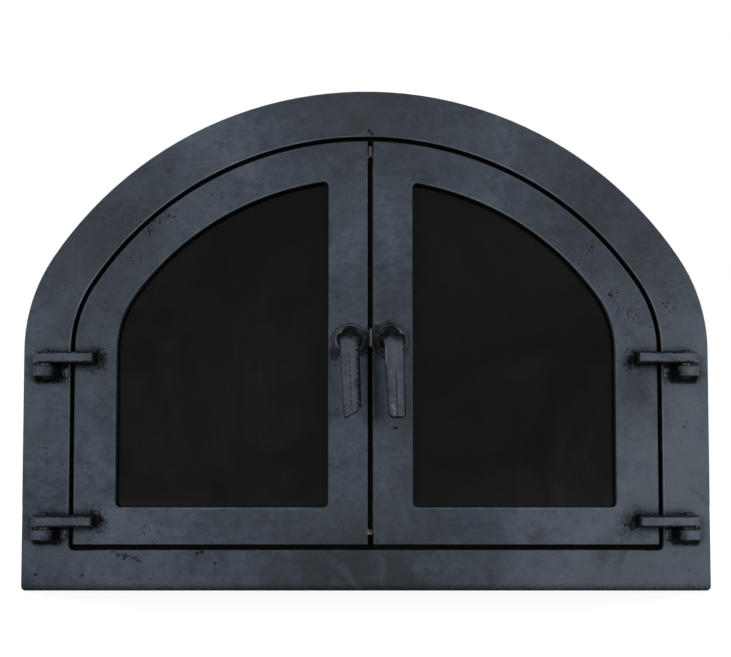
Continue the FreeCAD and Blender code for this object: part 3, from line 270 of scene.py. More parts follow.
def calc(tree, operation, first, second=0.0):
    """Arithmetic on one or two amounts."""
    made = add(tree, "ShaderNodeMath", operation=operation)
    connect(tree, made.inputs[0], first)
    connect(tree, made.inputs[1], second)
    return made.outputs[0]


def fold(tree, operation, amounts):
    """One operation carried through several amounts, from the first on."""
    result = amounts[0]
    for amount in amounts[1:]:
        result = calc(tree, operation, result, amount)
    return result


def plus(tree, *amounts):
    """Sum of several amounts."""
    return fold(tree, "ADD", amounts)


def times(tree, *amounts):
    """Product of several amounts."""
    return fold(tree, "MULTIPLY", amounts)


def most(tree, *amounts):
    """Largest of several amounts."""
    return fold(tree, "MAXIMUM", amounts)


def off(tree, amount, middle):
    """How far an amount lies from a middle, on either side."""
    return calc(tree, "ABSOLUTE", calc(tree, "SUBTRACT", amount, middle))


def mix(tree, amount, first, second):
    """Colour between two colours."""
    made = add(tree, "ShaderNodeMix", data_type="RGBA")
    connect(tree, made.inputs[0], amount)
    for socket, given in zip((made.inputs[6], made.inputs[7]), (first, second)):
        connect(tree, socket, (*given, 1.0) if isinstance(given, tuple) else given)
    return made.outputs[2]


def bumps(tree, layers, normal=None):
    """Normal that carries several heights, each with its depth in metres."""
    for height, depth in layers:
        inputs = {"Height": height, "Strength": 1.0, "Distance": depth}
        if normal:
            inputs["Normal"] = normal
        normal = add(tree, "ShaderNodeBump", inputs).outputs["Normal"]
    return normal


def axes(tree, vector):
    """The x, y and z of a vector."""
    made = add(tree, "ShaderNodeSeparateXYZ", {"Vector": vector})
    return made.outputs["X"], made.outputs["Y"], made.outputs["Z"]


def stretched(tree, where, scale):
    """Position with its own scale along each axis."""
    return add(tree, "ShaderNodeMapping", {"Vector": where, "Scale": scale}).outputs["Vector"]


def distance(tree, where, place):
    """Distance of each position from a place."""
    return add(tree, "ShaderNodeVectorMath", {0: where, 1: place}, operation="DISTANCE").outputs["Value"]


def along_axis(tree, vector, axis):
    """Part of a vector that runs along an axis."""
    return add(tree, "ShaderNodeVectorMath", {0: vector, 1: axis}, operation="DOT_PRODUCT").outputs["Value"]


def new_material(name):
    """Empty node material with its tree, its shader and object coordinates."""
    made = bpy.data.materials.new(name)
    made.use_nodes = True
    tree = made.node_tree
    shader = tree.nodes["Principled BSDF"]
    where = add(tree, "ShaderNodeTexCoord").outputs["Object"]
    return made, tree, shader, where


def rounded_normal(tree, radius):
    """Normal of the surface with its hard edges rounded off."""
    return add(tree, "ShaderNodeBevel", {"Radius": radius}, samples=CORNER_SAMPLES).outputs["Normal"]


def evenness(tree, rounded):
    """1 on flat ground, less towards a hard edge, from the rounded normal."""
    flat = add(tree, "ShaderNodeNewGeometry").outputs["Normal"]
    return along_axis(tree, rounded, flat)


def edge_highlight(tree, where, even):
    """Painted highlight as a broken light line just inside the hard edges."""
    broken = ramp(tree, noise(tree, where, 34.0, 5.0, 0.7), 0.42, 0.62, 0.0, 0.5)
    return times(tree, ramp(tree, even, 0.995, 0.965), ramp(tree, even, 0.86, 0.93), broken)


def thin_line(tree, gap):
    """1 on a line about a millimetre wide, from the distance to its middle."""
    return ramp(tree, gap, LINE_FADES, LINE_FULL)


def near(tree, where, places, full, none, uneven=0.0, fineness=260.0):
    """1 within a distance of the closest place, falling to 0 further out; uneven roughens the rim."""
    nearest = fold(tree, "MINIMUM", [distance(tree, where, place) for place in places])
    if uneven:
        ragged = ramp(tree, noise(tree, where, fineness, 4.0, 0.65), 0.25, 0.75, -uneven, uneven)
        nearest = plus(tree, nearest, ragged)
    return ramp(tree, nearest, none, full)


def at_hinges(inward_shift, depth, rise):
    """One place at each hinge, measured from the top of its lug's inner end."""
    places = []
    for side, inward in (("left", 1.0), ("right", -1.0)):
        for level in ("lower", "upper"):
            low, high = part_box(f"{side}_{level}_hinge_lug")
            inner = high.x if inward > 0 else low.x
            places.append((inner + inward * inward_shift, depth, high.z + rise))
    return places


def on_the_right(places):
    """Those of several places that lie right of the door's middle."""
    return [place for place in places if place[0] > 0.0]


def edges_and_ledges(tree, where, rounded):
    """Painted shade by the way a surface faces: none on the front, some on edges, sides, tops and back, most
    underneath.
    """
    turned = add(tree, "ShaderNodeVectorTransform", {"Vector": rounded}, vector_type="NORMAL",
                 convert_from="WORLD", convert_to="OBJECT").outputs["Vector"]
    _, rearward, upward = axes(tree, turned)
    ragged = ramp(tree, noise(tree, where, 420.0, 4.0, 0.7), 0.25, 0.75, -0.1, 0.1)
    sides = ramp(tree, plus(tree, rearward, ragged), -0.82, -0.5, 0.0, 0.7)
    sides = times(tree, sides, ramp(tree, rearward, 0.3, 0.8, 1.0, 0.45))
    upright = plus(tree, upward, ragged)
    blackest = times(tree, near(tree, where, at_hinges(*HINGE_MIDDLE), 0.032, 0.040), 0.3)
    upper = ramp(tree, plus(tree, upright, blackest), 0.5, 0.75, 0.0, 0.95)
    upper = times(tree, upper, ramp(tree, upward, 0.85, 0.99, 1.0, 0.6))
    under = ramp(tree, upright, -0.4, -0.7, 0.0, 0.97)
    return most(tree, sides, upper, under)


def arm_edges(tree, where):
    """Ragged black lines along the upper and lower front edges of the hinge arms."""
    across, depth, height = axes(tree, where)
    ragged = ramp(tree, noise(tree, where, 330.0, 4.0, 0.7), 0.3, 0.7, -0.0008, 0.0008)
    lines = []
    for level in ("lower", "upper"):
        for rise in (ARM_FOOT, ARM_TOP):
            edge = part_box(f"left_{level}_hinge_lug")[1].z + rise
            gap = plus(tree, off(tree, height, edge), ragged)
            lines.append(ramp(tree, gap, *ARM_LINE))
    aside = ramp(tree, calc(tree, "ABSOLUTE", across), 0.18, 0.20)
    front = ramp(tree, depth, ARM_FRONT + 0.0019, ARM_FRONT + 0.0009, 0.0, 0.95)
    return times(tree, most(tree, *lines), aside, front)


def shade_and_soot(tree, where, rounded):
    """Painted shade in the corners, on edges and ledges and round the handles; black lines and darkening
    round the hinges; and specks of soot.
    """
    corners = add(tree, "ShaderNodeAmbientOcclusion", {"Distance": CORNER_REACH}, samples=CORNER_SAMPLES)
    uneven = ramp(tree, noise(tree, where, 700.0, 3.0), 0.3, 0.7, -0.12, 0.12)
    arm_ends = at_hinges(*ARM_END)
    speckled_places = SPECKS + on_the_right(at_hinges(*ARM_CORNER))
    specks = ramp(tree, noise(tree, where, 800.0, 3.0, 0.7), 0.54, 0.61, 0.0, 0.9)
    speckled = most(tree, near(tree, where, arm_ends, 0.010, 0.023, 0.006),
                    near(tree, where, speckled_places, 0.003, 0.009, 0.004))
    deepest = most(
        tree,
        # Painted shade out of corners and crevices, by how little of the surroundings each point sees
        ramp(tree, plus(tree, corners.outputs["AO"], uneven), 0.82, 0.5, 0.0, 0.98),
        edges_and_ledges(tree, where, rounded),
        arm_edges(tree, where),
        near(tree, where, arm_ends, 0.007, 0.012, 0.006),
        times(tree, near(tree, where, on_the_right(arm_ends), 0.006, 0.018, 0.004), 0.7),
        near(tree, where, at_hinges(*LUG_SIDE), 0.007, 0.018, 0.003),
        # Painted shadow round the handles
        times(tree, near(tree, where, HANDLE_SHADE, 0.002, 0.008, 0.005), 0.8),
        times(tree, specks, speckled),
    )
    return calc(tree, "MINIMUM", deepest, 0.98)


def hinge_wear_and_highlight(tree, where, edges):
    """Edges near the hinge pins, rubbed bare and lit with a painted highlight."""
    brightened = near(tree, where, at_hinges(*PIN_EYE), 0.011, 0.016, 0.003)
    return times(tree, brightened, ramp(tree, edges, 0.2, 0.8, 0.0, 0.6))


def opening_gap(tree, where):
    """Distance outward from the edge of the frame's opening, on the front above its sill."""
    small, turn = shoulder(OPENING_HALF, OPENING_CROWN)
    meeting = CROWN_CENTRE + OPENING_CROWN * math.sin(turn)
    folded = add(tree, "ShaderNodeVectorMath", {0: where}, operation="ABSOLUTE").outputs["Vector"]
    across, _, height = axes(tree, folded)
    from_bend = distance(tree, folded, (OPENING_HALF - small, -FRONT, SPRINGING))
    from_crown = distance(tree, folded, (0.0, -FRONT, CROWN_CENTRE))
    jamb = calc(tree, "SUBTRACT", across, OPENING_HALF)
    bend = calc(tree, "SUBTRACT", from_bend, small)
    crown = calc(tree, "SUBTRACT", from_crown, OPENING_CROWN)
    above = calc(tree, "GREATER_THAN", height, SPRINGING)
    upper = calc(tree, "GREATER_THAN", height, meeting)
    gap = plus(tree, jamb, times(tree, above, calc(tree, "SUBTRACT", bend, jamb)))
    return plus(tree, gap, times(tree, upper, calc(tree, "SUBTRACT", crown, bend)))


def flange_highlight_and_wear(tree, where, edges):
    """Bare edges near the hinge pins with a painted highlight, and a thin broken line of painted highlight
    round the frame's opening.
    """
    _, depth, height = axes(tree, where)
    gap = off(tree, opening_gap(tree, where), OPENING_LINE)
    front = ramp(tree, depth, FRONT + 0.0004, FRONT + 0.0001)
    above_sill = ramp(tree, height, 0.040, 0.050)
    broken = ramp(tree, noise(tree, where, 18.0, 4.0, 0.6), 0.38, 0.60, 0.10, 0.50)
    line = times(tree, thin_line(tree, gap), front, above_sill, broken)
    return most(tree, line, hinge_wear_and_highlight(tree, where, edges))


def leaf_highlight_and_wear(tree, where, edges):
    """Bare edges near the hinge pins with a painted highlight, and thin lines of painted highlight along the
    windows' arches and lower edges.
    """
    across, _, height = axes(tree, where)
    aside = calc(tree, "ABSOLUTE", across)
    broken = ramp(tree, noise(tree, where, 60.0, 4.0, 0.7), 0.40, 0.62, 0.05, 0.30)
    below_window = times(tree, ramp(tree, aside, 0.040, 0.050), ramp(tree, aside, 0.216, 0.210))
    sill = times(tree, thin_line(tree, off(tree, height, SILL_LINE)), below_window, broken)
    from_centre = distance(tree, where, (0.0, FRONT, CROWN_CENTRE))
    stronger_right = ramp(tree, across, -0.23, 0.10, 0.03, 0.25)
    above_window = times(tree, ramp(tree, height, 0.24, 0.26), ramp(tree, aside, 0.048, 0.056))
    arch = times(tree, thin_line(tree, off(tree, from_centre, ARCH_LINE)), stronger_right, above_window)
    return most(tree, sill, arch, hinge_wear_and_highlight(tree, where, edges))


def lug_foot(tree, where, edges):
    """Edges of the lugs rubbed bare and lit with a painted highlight, and a broken painted highlight on
    their feet.
    """
    _, depth, _ = axes(tree, where)
    broken_highlight = ramp(tree, noise(tree, where, 400.0), 0.40, 0.52, 0.0, 0.55)
    foot = times(tree, ramp(tree, depth, -0.0125, -0.0118), broken_highlight)
    return most(tree, foot, hinge_wear_and_highlight(tree, where, edges))


def crescents(tree, where, edges):
    """Painted highlights on the rosettes' rims, on the side away from the meeting gap."""
    places = []
    for side, outward in (("left", -1.0), ("right", 1.0)):
        low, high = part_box(f"{side}_rosette")
        middle = (low + high) / 2
        for turn in CRESCENT_TURNS:
            aside = outward * CRESCENT_RADIUS * math.cos(turn)
            places.append((middle.x + aside, low.y, middle.z + CRESCENT_RADIUS * math.sin(turn)))
    brightened = near(tree, where, places, 0.003, 0.007, 0.001)
    return times(tree, brightened, ramp(tree, edges, 0.0, 0.6, 0.5, 0.9))


def grip_flecks(tree, where, edges):
    """Flecks of bare metal on the levers, thickest where their meshes say so; crowded along the right
    lever's left edge they make a painted highlight.
    """
    brightened = add(tree, "ShaderNodeAttribute", attribute_name="wear_and_highlight").outputs["Fac"]
    fine = noise(tree, stretched(tree, where, (900.0, 900.0, 300.0)), 1.0, 3.0, 0.6)
    flecks = ramp(tree, plus(tree, fine, times(tree, brightened, 0.16)), 0.66, 0.74, 0.0, 0.9)
    return most(tree, flecks, times(tree, edges, ramp(tree, fine, 0.5, 0.6, 0.0, 0.35)))


def grip_shade(tree, where):
    """Painted shade on the levers' grooves, ragged edges, tips and hoods, where their meshes say so."""
    grooved = add(tree, "ShaderNodeAttribute", attribute_name="shade_and_soot").outputs["Fac"]
    ragged = ramp(tree, noise(tree, where, 520.0, 3.0, 0.7), 0.3, 0.7, -0.3, 0.3)
    return ramp(tree, plus(tree, grooved, ragged), 0.45, 0.75, 0.0, 0.95)


def pits(tree, where):
    """Casting pits in loose clusters."""
    cells = add(tree, "ShaderNodeTexVoronoi", {"Vector": where, "Scale": 420.0})
    chosen = add(tree, "ShaderNodeSeparateColor", {"Color": cells.outputs["Color"]}).outputs["Red"]
    pitted = near(tree, where, PITTED, 0.003, 0.009, 0.003)
    clusters = most(tree, ramp(tree, noise(tree, where, 30.0, 3.0, 0.6), 0.60, 0.70), pitted)
    chosen = plus(tree, chosen, times(tree, pitted, 0.3))
    rare = times(tree, ramp(tree, chosen, 0.7, 0.76), clusters)
    reach = calc(tree, "SUBTRACT", cells.outputs["Distance"], times(tree, pitted, 0.16))
    return times(tree, ramp(tree, reach, 0.36, 0.2), rare)


def hairline(tree, where, start, end):
    """Thin broken crack that wanders from one place to another."""
    run = Vector(end) - Vector(start)
    onward = run.normalized()
    middle = run.length / 2
    offset = add(tree, "ShaderNodeVectorMath", {0: where, 1: start}, operation="SUBTRACT").outputs["Vector"]
    along = along_axis(tree, offset, onward)
    across = along_axis(tree, offset, Vector((-onward.z, 0.0, onward.x)))
    wander = ramp(tree, noise(tree, where, 170.0, 4.0, 0.6), 0.3, 0.7, -0.003, 0.003)
    line = ramp(tree, calc(tree, "ABSOLUTE", plus(tree, across, wander)), 0.0008, 0.0003)
    within = ramp(tree, off(tree, along, middle), middle, middle - 0.002)
    broken = ramp(tree, noise(tree, where, 300.0, 2.0), 0.34, 0.42)
    return times(tree, line, within, broken)


def damage(tree, where):
    """Pits, chipped spots and the crack in the sill."""
    chipped = near(tree, where, CHIPS, 0.0010, 0.0015, 0.0014, 700.0)
    return most(tree, pits(tree, where), chipped, hairline(tree, where, CRACK_START, CRACK_END))


def paint_tone(tree, where):
    """Uneven lightness of brushed and heated paint, from 0 to about 1, with painted light that makes it
    lighter at the lower right.
    """
    strokes = stretched(tree, where, (22.0, 60.0, 280.0))
    lumps = stretched(tree, where, (170.0, 170.0, 420.0))
    across, _, height = axes(tree, where)
    return plus(
        tree,
        ramp(tree, noise(tree, where, 5.5, 3.0, 0.55, 0.4), 0.32, 0.68, 0.0, 0.24),
        ramp(tree, noise(tree, where, 11.0, 6.0, 0.6, 0.4), 0.51, 0.55, 0.0, 0.12),
        ramp(tree, noise(tree, where, 26.0, 4.0, 0.65, 0.6), 0.32, 0.68, -0.03, 0.29),
        ramp(tree, noise(tree, where, 110.0, 4.0, 0.65), 0.32, 0.68, -0.03, 0.21),
        ramp(tree, near(tree, where, PALE_PLACES, 0.02, 0.09, 0.02), 0.0, 1.0, 0.0, 0.14),
        ramp(tree, noise(tree, strokes, 1.0, 3.0), 0.35, 0.65, 0.0, 0.07),
        ramp(tree, noise(tree, lumps, 1.0, 3.0, 0.6), 0.35, 0.65, -0.07, 0.08),
        # Painted light: lighter towards the lower right
        times(tree, ramp(tree, across, 0.05, 0.28, 0.0, 0.32), ramp(tree, height, 0.32, 0.21)),
    )


def stained(tree, where, colour):
    """Paint colour with grey patches, worn ones on the right, brown smudges, dark stains, and painted shade
    at the crown and shoulders.
    """
    across, _, height = axes(tree, where)
    grey = ramp(tree, noise(tree, where, 14.0, 4.0, 0.6, 0.5), 0.42, 0.68, 0.0, 0.4)
    colour = mix(tree, grey, colour, GREY_PATCH)
    lower_right = times(tree, ramp(tree, across, 0.10, 0.24), ramp(tree, height, 0.30, 0.20))
    patches = noise(tree, where, 17.0, 7.0, 0.62, 0.8)
    worn = times(tree, ramp(tree, patches, 0.49, 0.515, 0.0, 0.6), lower_right)
    colour = mix(tree, worn, colour, WORN_PATCH)
    smudged = ramp(tree, near(tree, where, SMUDGES, 0.002, 0.012, 0.006), 0.0, 1.0, 0.0, 0.5)
    blotches = ramp(tree, noise(tree, where, 38.0, 5.0, 0.7, 0.5), 0.57, 0.68, 0.0, 0.35)
    colour = mix(tree, most(tree, blotches, smudged), colour, SMUDGE)
    # Painted shade at the crown and shoulders, and stains at the sill and in small spots
    stains_and_shade = most(tree, near(tree, where, WIDE_SHADE_AND_STAIN, 0.03, 0.15, 0.02),
                  near(tree, where, SMALL_STAINS, 0.008, 0.045, 0.012))
    at_sill = ramp(tree, height, 0.060, 0.035, 0.15, 1.0)
    patchy = times(tree, ramp(tree, patches, 0.54, 0.47, -0.25, 0.30), at_sill)
    return mix(tree, times(tree, stains_and_shade, plus(tree, patchy, 0.58)), colour, STAIN_AND_SHADE)


def stove_paint(name, tones, brighter, darker=None):
    """Satin stove paint on cast iron: blotches, stains, pits, cracks, soot and painted shade, painted
    highlights and what is rubbed bright.
    """
    made, tree, shader, where = new_material(name)
    mottle = noise(tree, where, 95.0, 4.0, 0.65)
    grain = noise(tree, where, 1100.0, 2.0)
    waves = noise(tree, where, 24.0, 2.0)
    rounded = rounded_normal(tree, EDGE_ROUNDING)
    even = evenness(tree, rounded)
    edges = ramp(tree, even, 0.99, 0.82)
    marks = damage(tree, where)
    blackened = shade_and_soot(tree, where, rounded)
    if darker:
        blackened = most(tree, blackened, darker(tree, where))
    colour = stained(tree, where, mix(tree, paint_tone(tree, where), *tones))
    # Painted highlight along the hard edges
    colour = mix(tree, edge_highlight(tree, where, even), colour, EDGE_HIGHLIGHT)
    colour = mix(tree, times(tree, marks, 0.92), colour, PIT)
    # Painted shade and soot darken the colour here
    colour = mix(tree, blackened, colour, SHADE_AND_SOOT)
    # Painted highlights and bare iron lighten the colour here
    colour = mix(tree, brighter(tree, where, edges), colour, BARE_IRON_AND_HIGHLIGHT)
    tree.links.new(colour, shader.inputs["Base Color"])
    tree.links.new(ramp(tree, mottle, 0.3, 0.7, 0.38, 0.54), shader.inputs["Roughness"])
    shader.inputs["Specular IOR Level"].default_value = PAINT_SHINE
    heights = [(waves, 0.0018), (mottle, 0.0007), (grain, 0.0001), (times(tree, marks, -1.0), 0.0003)]
    tree.links.new(bumps(tree, heights, rounded), shader.inputs["Normal"])
    return made


def bare_steel(name, tones):
    """Plain steel that has been handled and has darkened: streaks, stains and fine scratches."""
    made, tree, shader, where = new_material(name)
    stain = noise(tree, where, 140.0, 4.0, 0.65)
    streak = noise(tree, stretched(tree, where, (2600.0, 2600.0, 90.0)), 1.0, 2.0)
    tone = plus(tree, ramp(tree, stain, 0.32, 0.68, 0.0, 0.7), ramp(tree, streak, 0.3, 0.7, 0.0, 0.3))
    tree.links.new(mix(tree, tone, *tones), shader.inputs["Base Color"])
    shader.inputs["Metallic"].default_value = 1.0
    tree.links.new(ramp(tree, stain, 0.3, 0.7, 0.5, 0.3), shader.inputs["Roughness"])
    tree.links.new(bumps(tree, [(streak, 0.00004), (stain, 0.0001)]), shader.inputs["Normal"])
    return made


def strip_steel(name):
    """Blackened steel of the meeting strip, rubbed bright along its free edge."""
    made = bare_steel(name, STRIP_STEEL)
    tree = made.node_tree
    colour = tree.nodes["Principled BSDF"].inputs["Base Color"]
    where = add(tree, "ShaderNodeTexCoord").outputs["Object"]
    across, _, _ = axes(tree, where)
    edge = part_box("meeting_strip")[1].x
    ragged = ramp(tree, noise(tree, where, 300.0), 0.3, 0.7, -0.0004, 0.0004)
    brightened = ramp(tree, plus(tree, across, ragged), edge - 0.0019, edge - 0.0012)
    tree.links.new(mix(tree, brightened, colour.links[0].from_socket, RUBBED_STEEL), colour)
    return made


def smoked_glass(name):
    """Dark ceramic glass with a grey haze of ash that thickens towards the bottom."""
    made, tree, shader, where = new_material(name)
    haze = noise(tree, where, 9.0, 4.0, 0.6, 0.8)
    smear = noise(tree, stretched(tree, where, (60.0, 1.0, 9.0)), 1.0, 4.0, 0.65)
    _, _, height = axes(tree, where)
    film = times(tree, ramp(tree, haze, 0.35, 0.7), ramp(tree, smear, 0.3, 0.7, 0.4, 1.0),
                 ramp(tree, height, 0.40, 0.07, 0.35, 1.0))
    tree.links.new(mix(tree, film, *GLASS), shader.inputs["Base Color"])
    tree.links.new(ramp(tree, haze, 0.3, 0.7, 0.05, 0.14), shader.inputs["Roughness"])
    shader.inputs["Specular IOR Level"].default_value = GLASS_SHINE
    return made


def woven_fibre(name, pitch, ends=None):
    """Sooty glass-fibre weave, cleaner at cut ends; the UV map runs in metres along and across."""
    made, tree, shader, where = new_material(name)
    onward, sideways, _ = axes(tree, add(tree, "ShaderNodeUVMap").outputs["UV"])
    along = calc(tree, "SINE", times(tree, onward, math.tau / pitch))
    across = calc(tree, "SINE", times(tree, sideways, math.tau / pitch))
    weave = times(tree, along, across)
    fuzz = noise(tree, where, 2400.0, 3.0)
    tone = plus(tree, ramp(tree, weave, -1.0, 1.0, 0.0, 0.7), ramp(tree, fuzz, 0.3, 0.7, 0.0, 0.3))
    colour = mix(tree, tone, *FIBRE)
    if ends:
        colour = mix(tree, near(tree, where, ends, 0.003, 0.0055, 0.001), colour, CLEAN_FIBRE)
    tree.links.new(colour, shader.inputs["Base Color"])
    shader.inputs["Roughness"].default_value = 0.95
    shader.inputs["Specular IOR Level"].default_value = 0.0
    tree.links.new(bumps(tree, [(weave, 0.0003), (fuzz, 0.0002)]), shader.inputs["Normal"])
    return made


def dress():
    """Gives each node the finish of its slot or of its kind; returns the finish of the handles."""
    paint = stove_paint("stove_paint", PAINT, flange_highlight_and_wear)
    grip = stove_paint("grip_paint", GRIP_PAINT, grip_flecks, grip_shade)
    black_steel = bare_steel("black_steel", BLACK_STEEL)
    by_slot = {
        "painted_iron": paint,
        "steel": bare_steel("bare_steel", BARE_STEEL),
        "dark_glass": smoked_glass("smoked_glass"),
        "fibre_seal": paint,
    }
    by_ending = {
        "_handle": grip,
        "_rosette": stove_paint("rosette_paint", PAINT, crescents),
        "_hinge_lug": stove_paint("lug_paint", PAINT, lug_foot),
        "_hinge_pin": black_steel,
        "_hinge_washer": black_steel,
        "_leaf": stove_paint("leaf_paint", PAINT, leaf_highlight_and_wear),
        "meeting_strip": strip_steel("strip_steel"),
    }
    for row in frame["record"]["subparts"]:
        node = row["node"]
        special = [finish for ending, finish in by_ending.items() if node.endswith(ending)]
        mesh = nodes[node].data
        mesh.materials.clear()
        mesh.materials.append(special[0] if special else by_slot[row["material_slot"]])
    return grip


def arc(centre, radius, start, stop, step):
    """Points along an arc in (x, z), with its start and without its end."""
    count = max(2, round(abs(stop - start) * radius / step))
    turns = [start + (stop - start) * n / count for n in range(count)]
    across, up = centre
    return [Vector((across + radius * math.cos(turn), up + radius * math.sin(turn))) for turn in turns]


def straight(start, stop, step):
    """Points along a straight run in (x, z), with its start and without its end."""
    count = max(1, round((stop - start).length / step))
    return [start.lerp(stop, n / count) for n in range(count)]


def shoulder(half, crown):
    """Shoulder arc between jamb and crown: its radius and the angle where it meets the crown."""
    rise = SPRINGING - CROWN_CENTRE
    radius = (crown ** 2 - half ** 2 - rise ** 2) / (2 * (crown - half))
    return radius, math.atan2(rise, half - radius)


def arch_path(half, crown, low, step):
    """Closed line round the opening, anticlockwise from the lower left corner."""
    small, turn = shoulder(half, crown)
    points = straight(Vector((-half, low)), Vector((half, low)), step)
    points += straight(Vector((half, low)), Vector((half, SPRINGING)), step)
    points += arc((half - small, SPRINGING), small, 0.0, turn, step)
    points += arc((0.0, CROWN_CENTRE), crown, turn, math.pi - turn, step)
    points += arc((small - half, SPRINGING), small, math.pi - turn, math.pi, step)
    points += straight(Vector((-half, SPRINGING)), Vector((-half, low)), step)
    return points


def window_path(side, inner, half, crown, low, step):
    """Closed line round one window, anticlockwise; side is -1 left and 1 right."""
    small, turn = shoulder(half, crown)
    top = math.acos(inner / crown)
    crest = Vector((inner, CROWN_CENTRE + crown * math.sin(top)))
    points = straight(Vector((inner, low)), Vector((half, low)), step)
    points += straight(Vector((half, low)), Vector((half, SPRINGING)), step)
    points += arc((half - small, SPRINGING), small, 0.0, turn, step)
    points += arc((0.0, CROWN_CENTRE), crown, turn, top, step)
    points += straight(crest, Vector((inner, low)), step)
    if side < 0:
        points = [Vector((-point.x, point.y)) for point in reversed(points)]
    return points


def outward_normals(path):
    """Mitred outward direction at each point of a closed anticlockwise path."""
    found = []
    for n, point in enumerate(path):
        runs = [(point - path[n - 1]).normalized(), (path[(n + 1) % len(path)] - point).normalized()]
        normals = [Vector((run.y, -run.x)) for run in runs]
        middle = (normals[0] + normals[1]).normalized()
        found.append(middle / max(MITRE_LIMIT, middle.dot(normals[0])))
    return found


def crowned_section(inner, outer, front, back, fall, points):
    """Section of a flat tape with a crowned front and rolled edges, as (offset, y) corners."""
    corners = []
    for n in range(points):
        share = n / (points - 1)
        bulge = math.sin(math.pi * share) ** TAPE_ROLL
        depth = front + (back - front) * fall * (1.0 - bulge)
        corners.append((inner + (outer - inner) * share, depth))
    return corners + [(outer, back), ((inner + outer) / 2, back), (inner, back)]


def swept_faces(rows, width, step, closed):
    """Faces and UVs of a tube with so many rows of points, each row a closed section."""
    faces, uvs = [], []
    for n in range(rows if closed else rows - 1):
        for k in range(width):
            corners = ((n, k), (n + 1, k), (n + 1, k + 1), (n, k + 1))
            faces.append(tuple(row % rows * width + spot % width for row, spot in corners))
            uvs += [(row * step, spot * step) for row, spot in corners]
    if not closed:
        for row in (0, rows - 1):
            faces.append(tuple(row * width + k for k in range(width)))
            uvs += [(0.0, 0.0)] * width
    return faces, uvs


def new_piece(name, mesh, body, replaced, material):
    """Smooth piece from a mesh, on its body and in place of a node."""
    for polygon in mesh.polygons:
        polygon.use_smooth = True
    mesh.materials.clear()
    mesh.materials.append(material)
    piece = bpy.data.objects.new(name, mesh)
    bpy.context.collection.objects.link(piece)
    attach(piece, body)
    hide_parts(replaced)


def soft_piece(name, vertices, faces, uvs, body, replaced, material):
    """Mesh with a UV map that stands for a plain soft solid."""
    mesh = bpy.data.meshes.new(name)
    mesh.from_pydata(vertices, [], faces)
    layer = mesh.uv_layers.new(name="UVMap")
    for loop, spot in zip(layer.data, uvs):
        loop.uv = spot
    new_piece(name, mesh, body, replaced, material)


def swept_tape(name, path, section, body, replaced, material, joint=None):
    """Tape along a path in (x, z); its section is (outward offset, y) corners; a joint opens the ring."""
    rows = [[(point + normal * offset, depth) for offset, depth in section]
            for point, normal in zip(path, outward_normals(path))]
    if joint is not None:
        rows = rows[joint + 1:] + rows[:joint]
    vertices = [(spot.x, depth, spot.y) for row in rows for spot, depth in row]
    faces, uvs = swept_faces(len(rows), len(section), TAPE_STEP, joint is None)
    soft_piece(name, vertices, faces, uvs, body, replaced, material)


def frame_tape(material):
    """Woven tape on the stop ring, spread to the collar; it butts behind the top of the meeting gap."""
    low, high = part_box("frame_seal")
    path = arch_path(high.x, high.z - CROWN_CENTRE, low.z, TAPE_STEP)
    seam = Vector(((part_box("left_leaf")[1].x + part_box("right_leaf")[0].x) / 2, high.z))
    joint = min(range(len(path)), key=lambda n: (path[n] - seam).length)
    section = crowned_section(-FRAME_TAPE_WIDTH, FRAME_TAPE_SPREAD, low.y, high.y,
                              FRAME_TAPE_FALL, FRAME_TAPE_POINTS)
    swept_tape("woven_frame_tape", path, section, "frame", "frame_seal", material, joint)


def glass_tape(side, material):
    """Woven tape between a leaf and its glass."""
    name = "left" if side < 0 else "right"
    low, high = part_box(f"{name}_glass_gasket")
    inner, half = sorted((abs(low.x), abs(high.x)))
    crown = math.hypot(inner, high.z - CROWN_CENTRE)
    path = window_path(side, inner, half, crown, low.z, TAPE_STEP)
    section = crowned_section(-GLASS_TAPE_WIDTH, GLASS_TAPE_SPREAD, low.y, high.y,
                              GLASS_TAPE_FALL, GLASS_TAPE_POINTS)
    body, replaced = f"{name}_leaf_body", f"{name}_glass_gasket"
    swept_tape(f"woven_{name}_glass_tape", path, section, body, replaced, material)


def cord_lengths():
    """Lower and upper length of the meeting cord, as heights; its outer ends reach past the strip."""
    heights = sorted({round(vertex.co.z, 5) for vertex in nodes["meeting_seal"].data.vertices})
    return [(heights[0] - CORD_FOOT, heights[1]), (heights[-2], heights[-1] + CORD_HEAD)]


def strand_points(middle, radius, number, start, stop):
    """Points of one strand of the cord between two heights, row by row along its helix."""
    thickness, orbit = radius * STRAND_SHARE, radius * ORBIT_SHARE
    steps = round((stop - start) / CORD_STEP)
    points = []
    for n in range(steps + 1):
        height = start + (stop - start) * n / steps
        turn = math.tau * (height / CORD_LAY + number / STRANDS)
        centre = middle + Vector((math.cos(turn), math.sin(turn))) * orbit
        for k in range(STRAND_SIDES):
            angle = math.tau * k / STRAND_SIDES
            aside, inward = thickness * math.cos(angle), thickness * math.sin(angle)
            points.append((centre.x + aside, centre.y + inward, height))
    return points


def lip_points(tip, bottom, top):
    """Points of the thin lip that carries the meeting strip on to the right leaf, row by row."""
    low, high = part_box("meeting_strip")
    rows = round((top - bottom) / LIP_STEP)
    points = []
    for n in range(rows + 1):
        height = bottom + (top - bottom) * n / rows
        points += [(high.x, low.y, height), (tip, low.y + LIP_INSET, height),
                   (tip, high.y - LIP_INSET, height), (high.x, high.y, height)]
    return points


def joined(tubes):
    """Vertices, faces and UVs of open tubes, each given by its points, their count in a row and its step."""
    vertices, faces, uvs = [], [], []
    for points, width, step in tubes:
        start = len(vertices)
        made, spots = swept_faces(len(points) // width, width, step, False)
        vertices += points
        faces += [tuple(start + corner for corner in face) for face in made]
        uvs += spots
    return vertices, faces, uvs


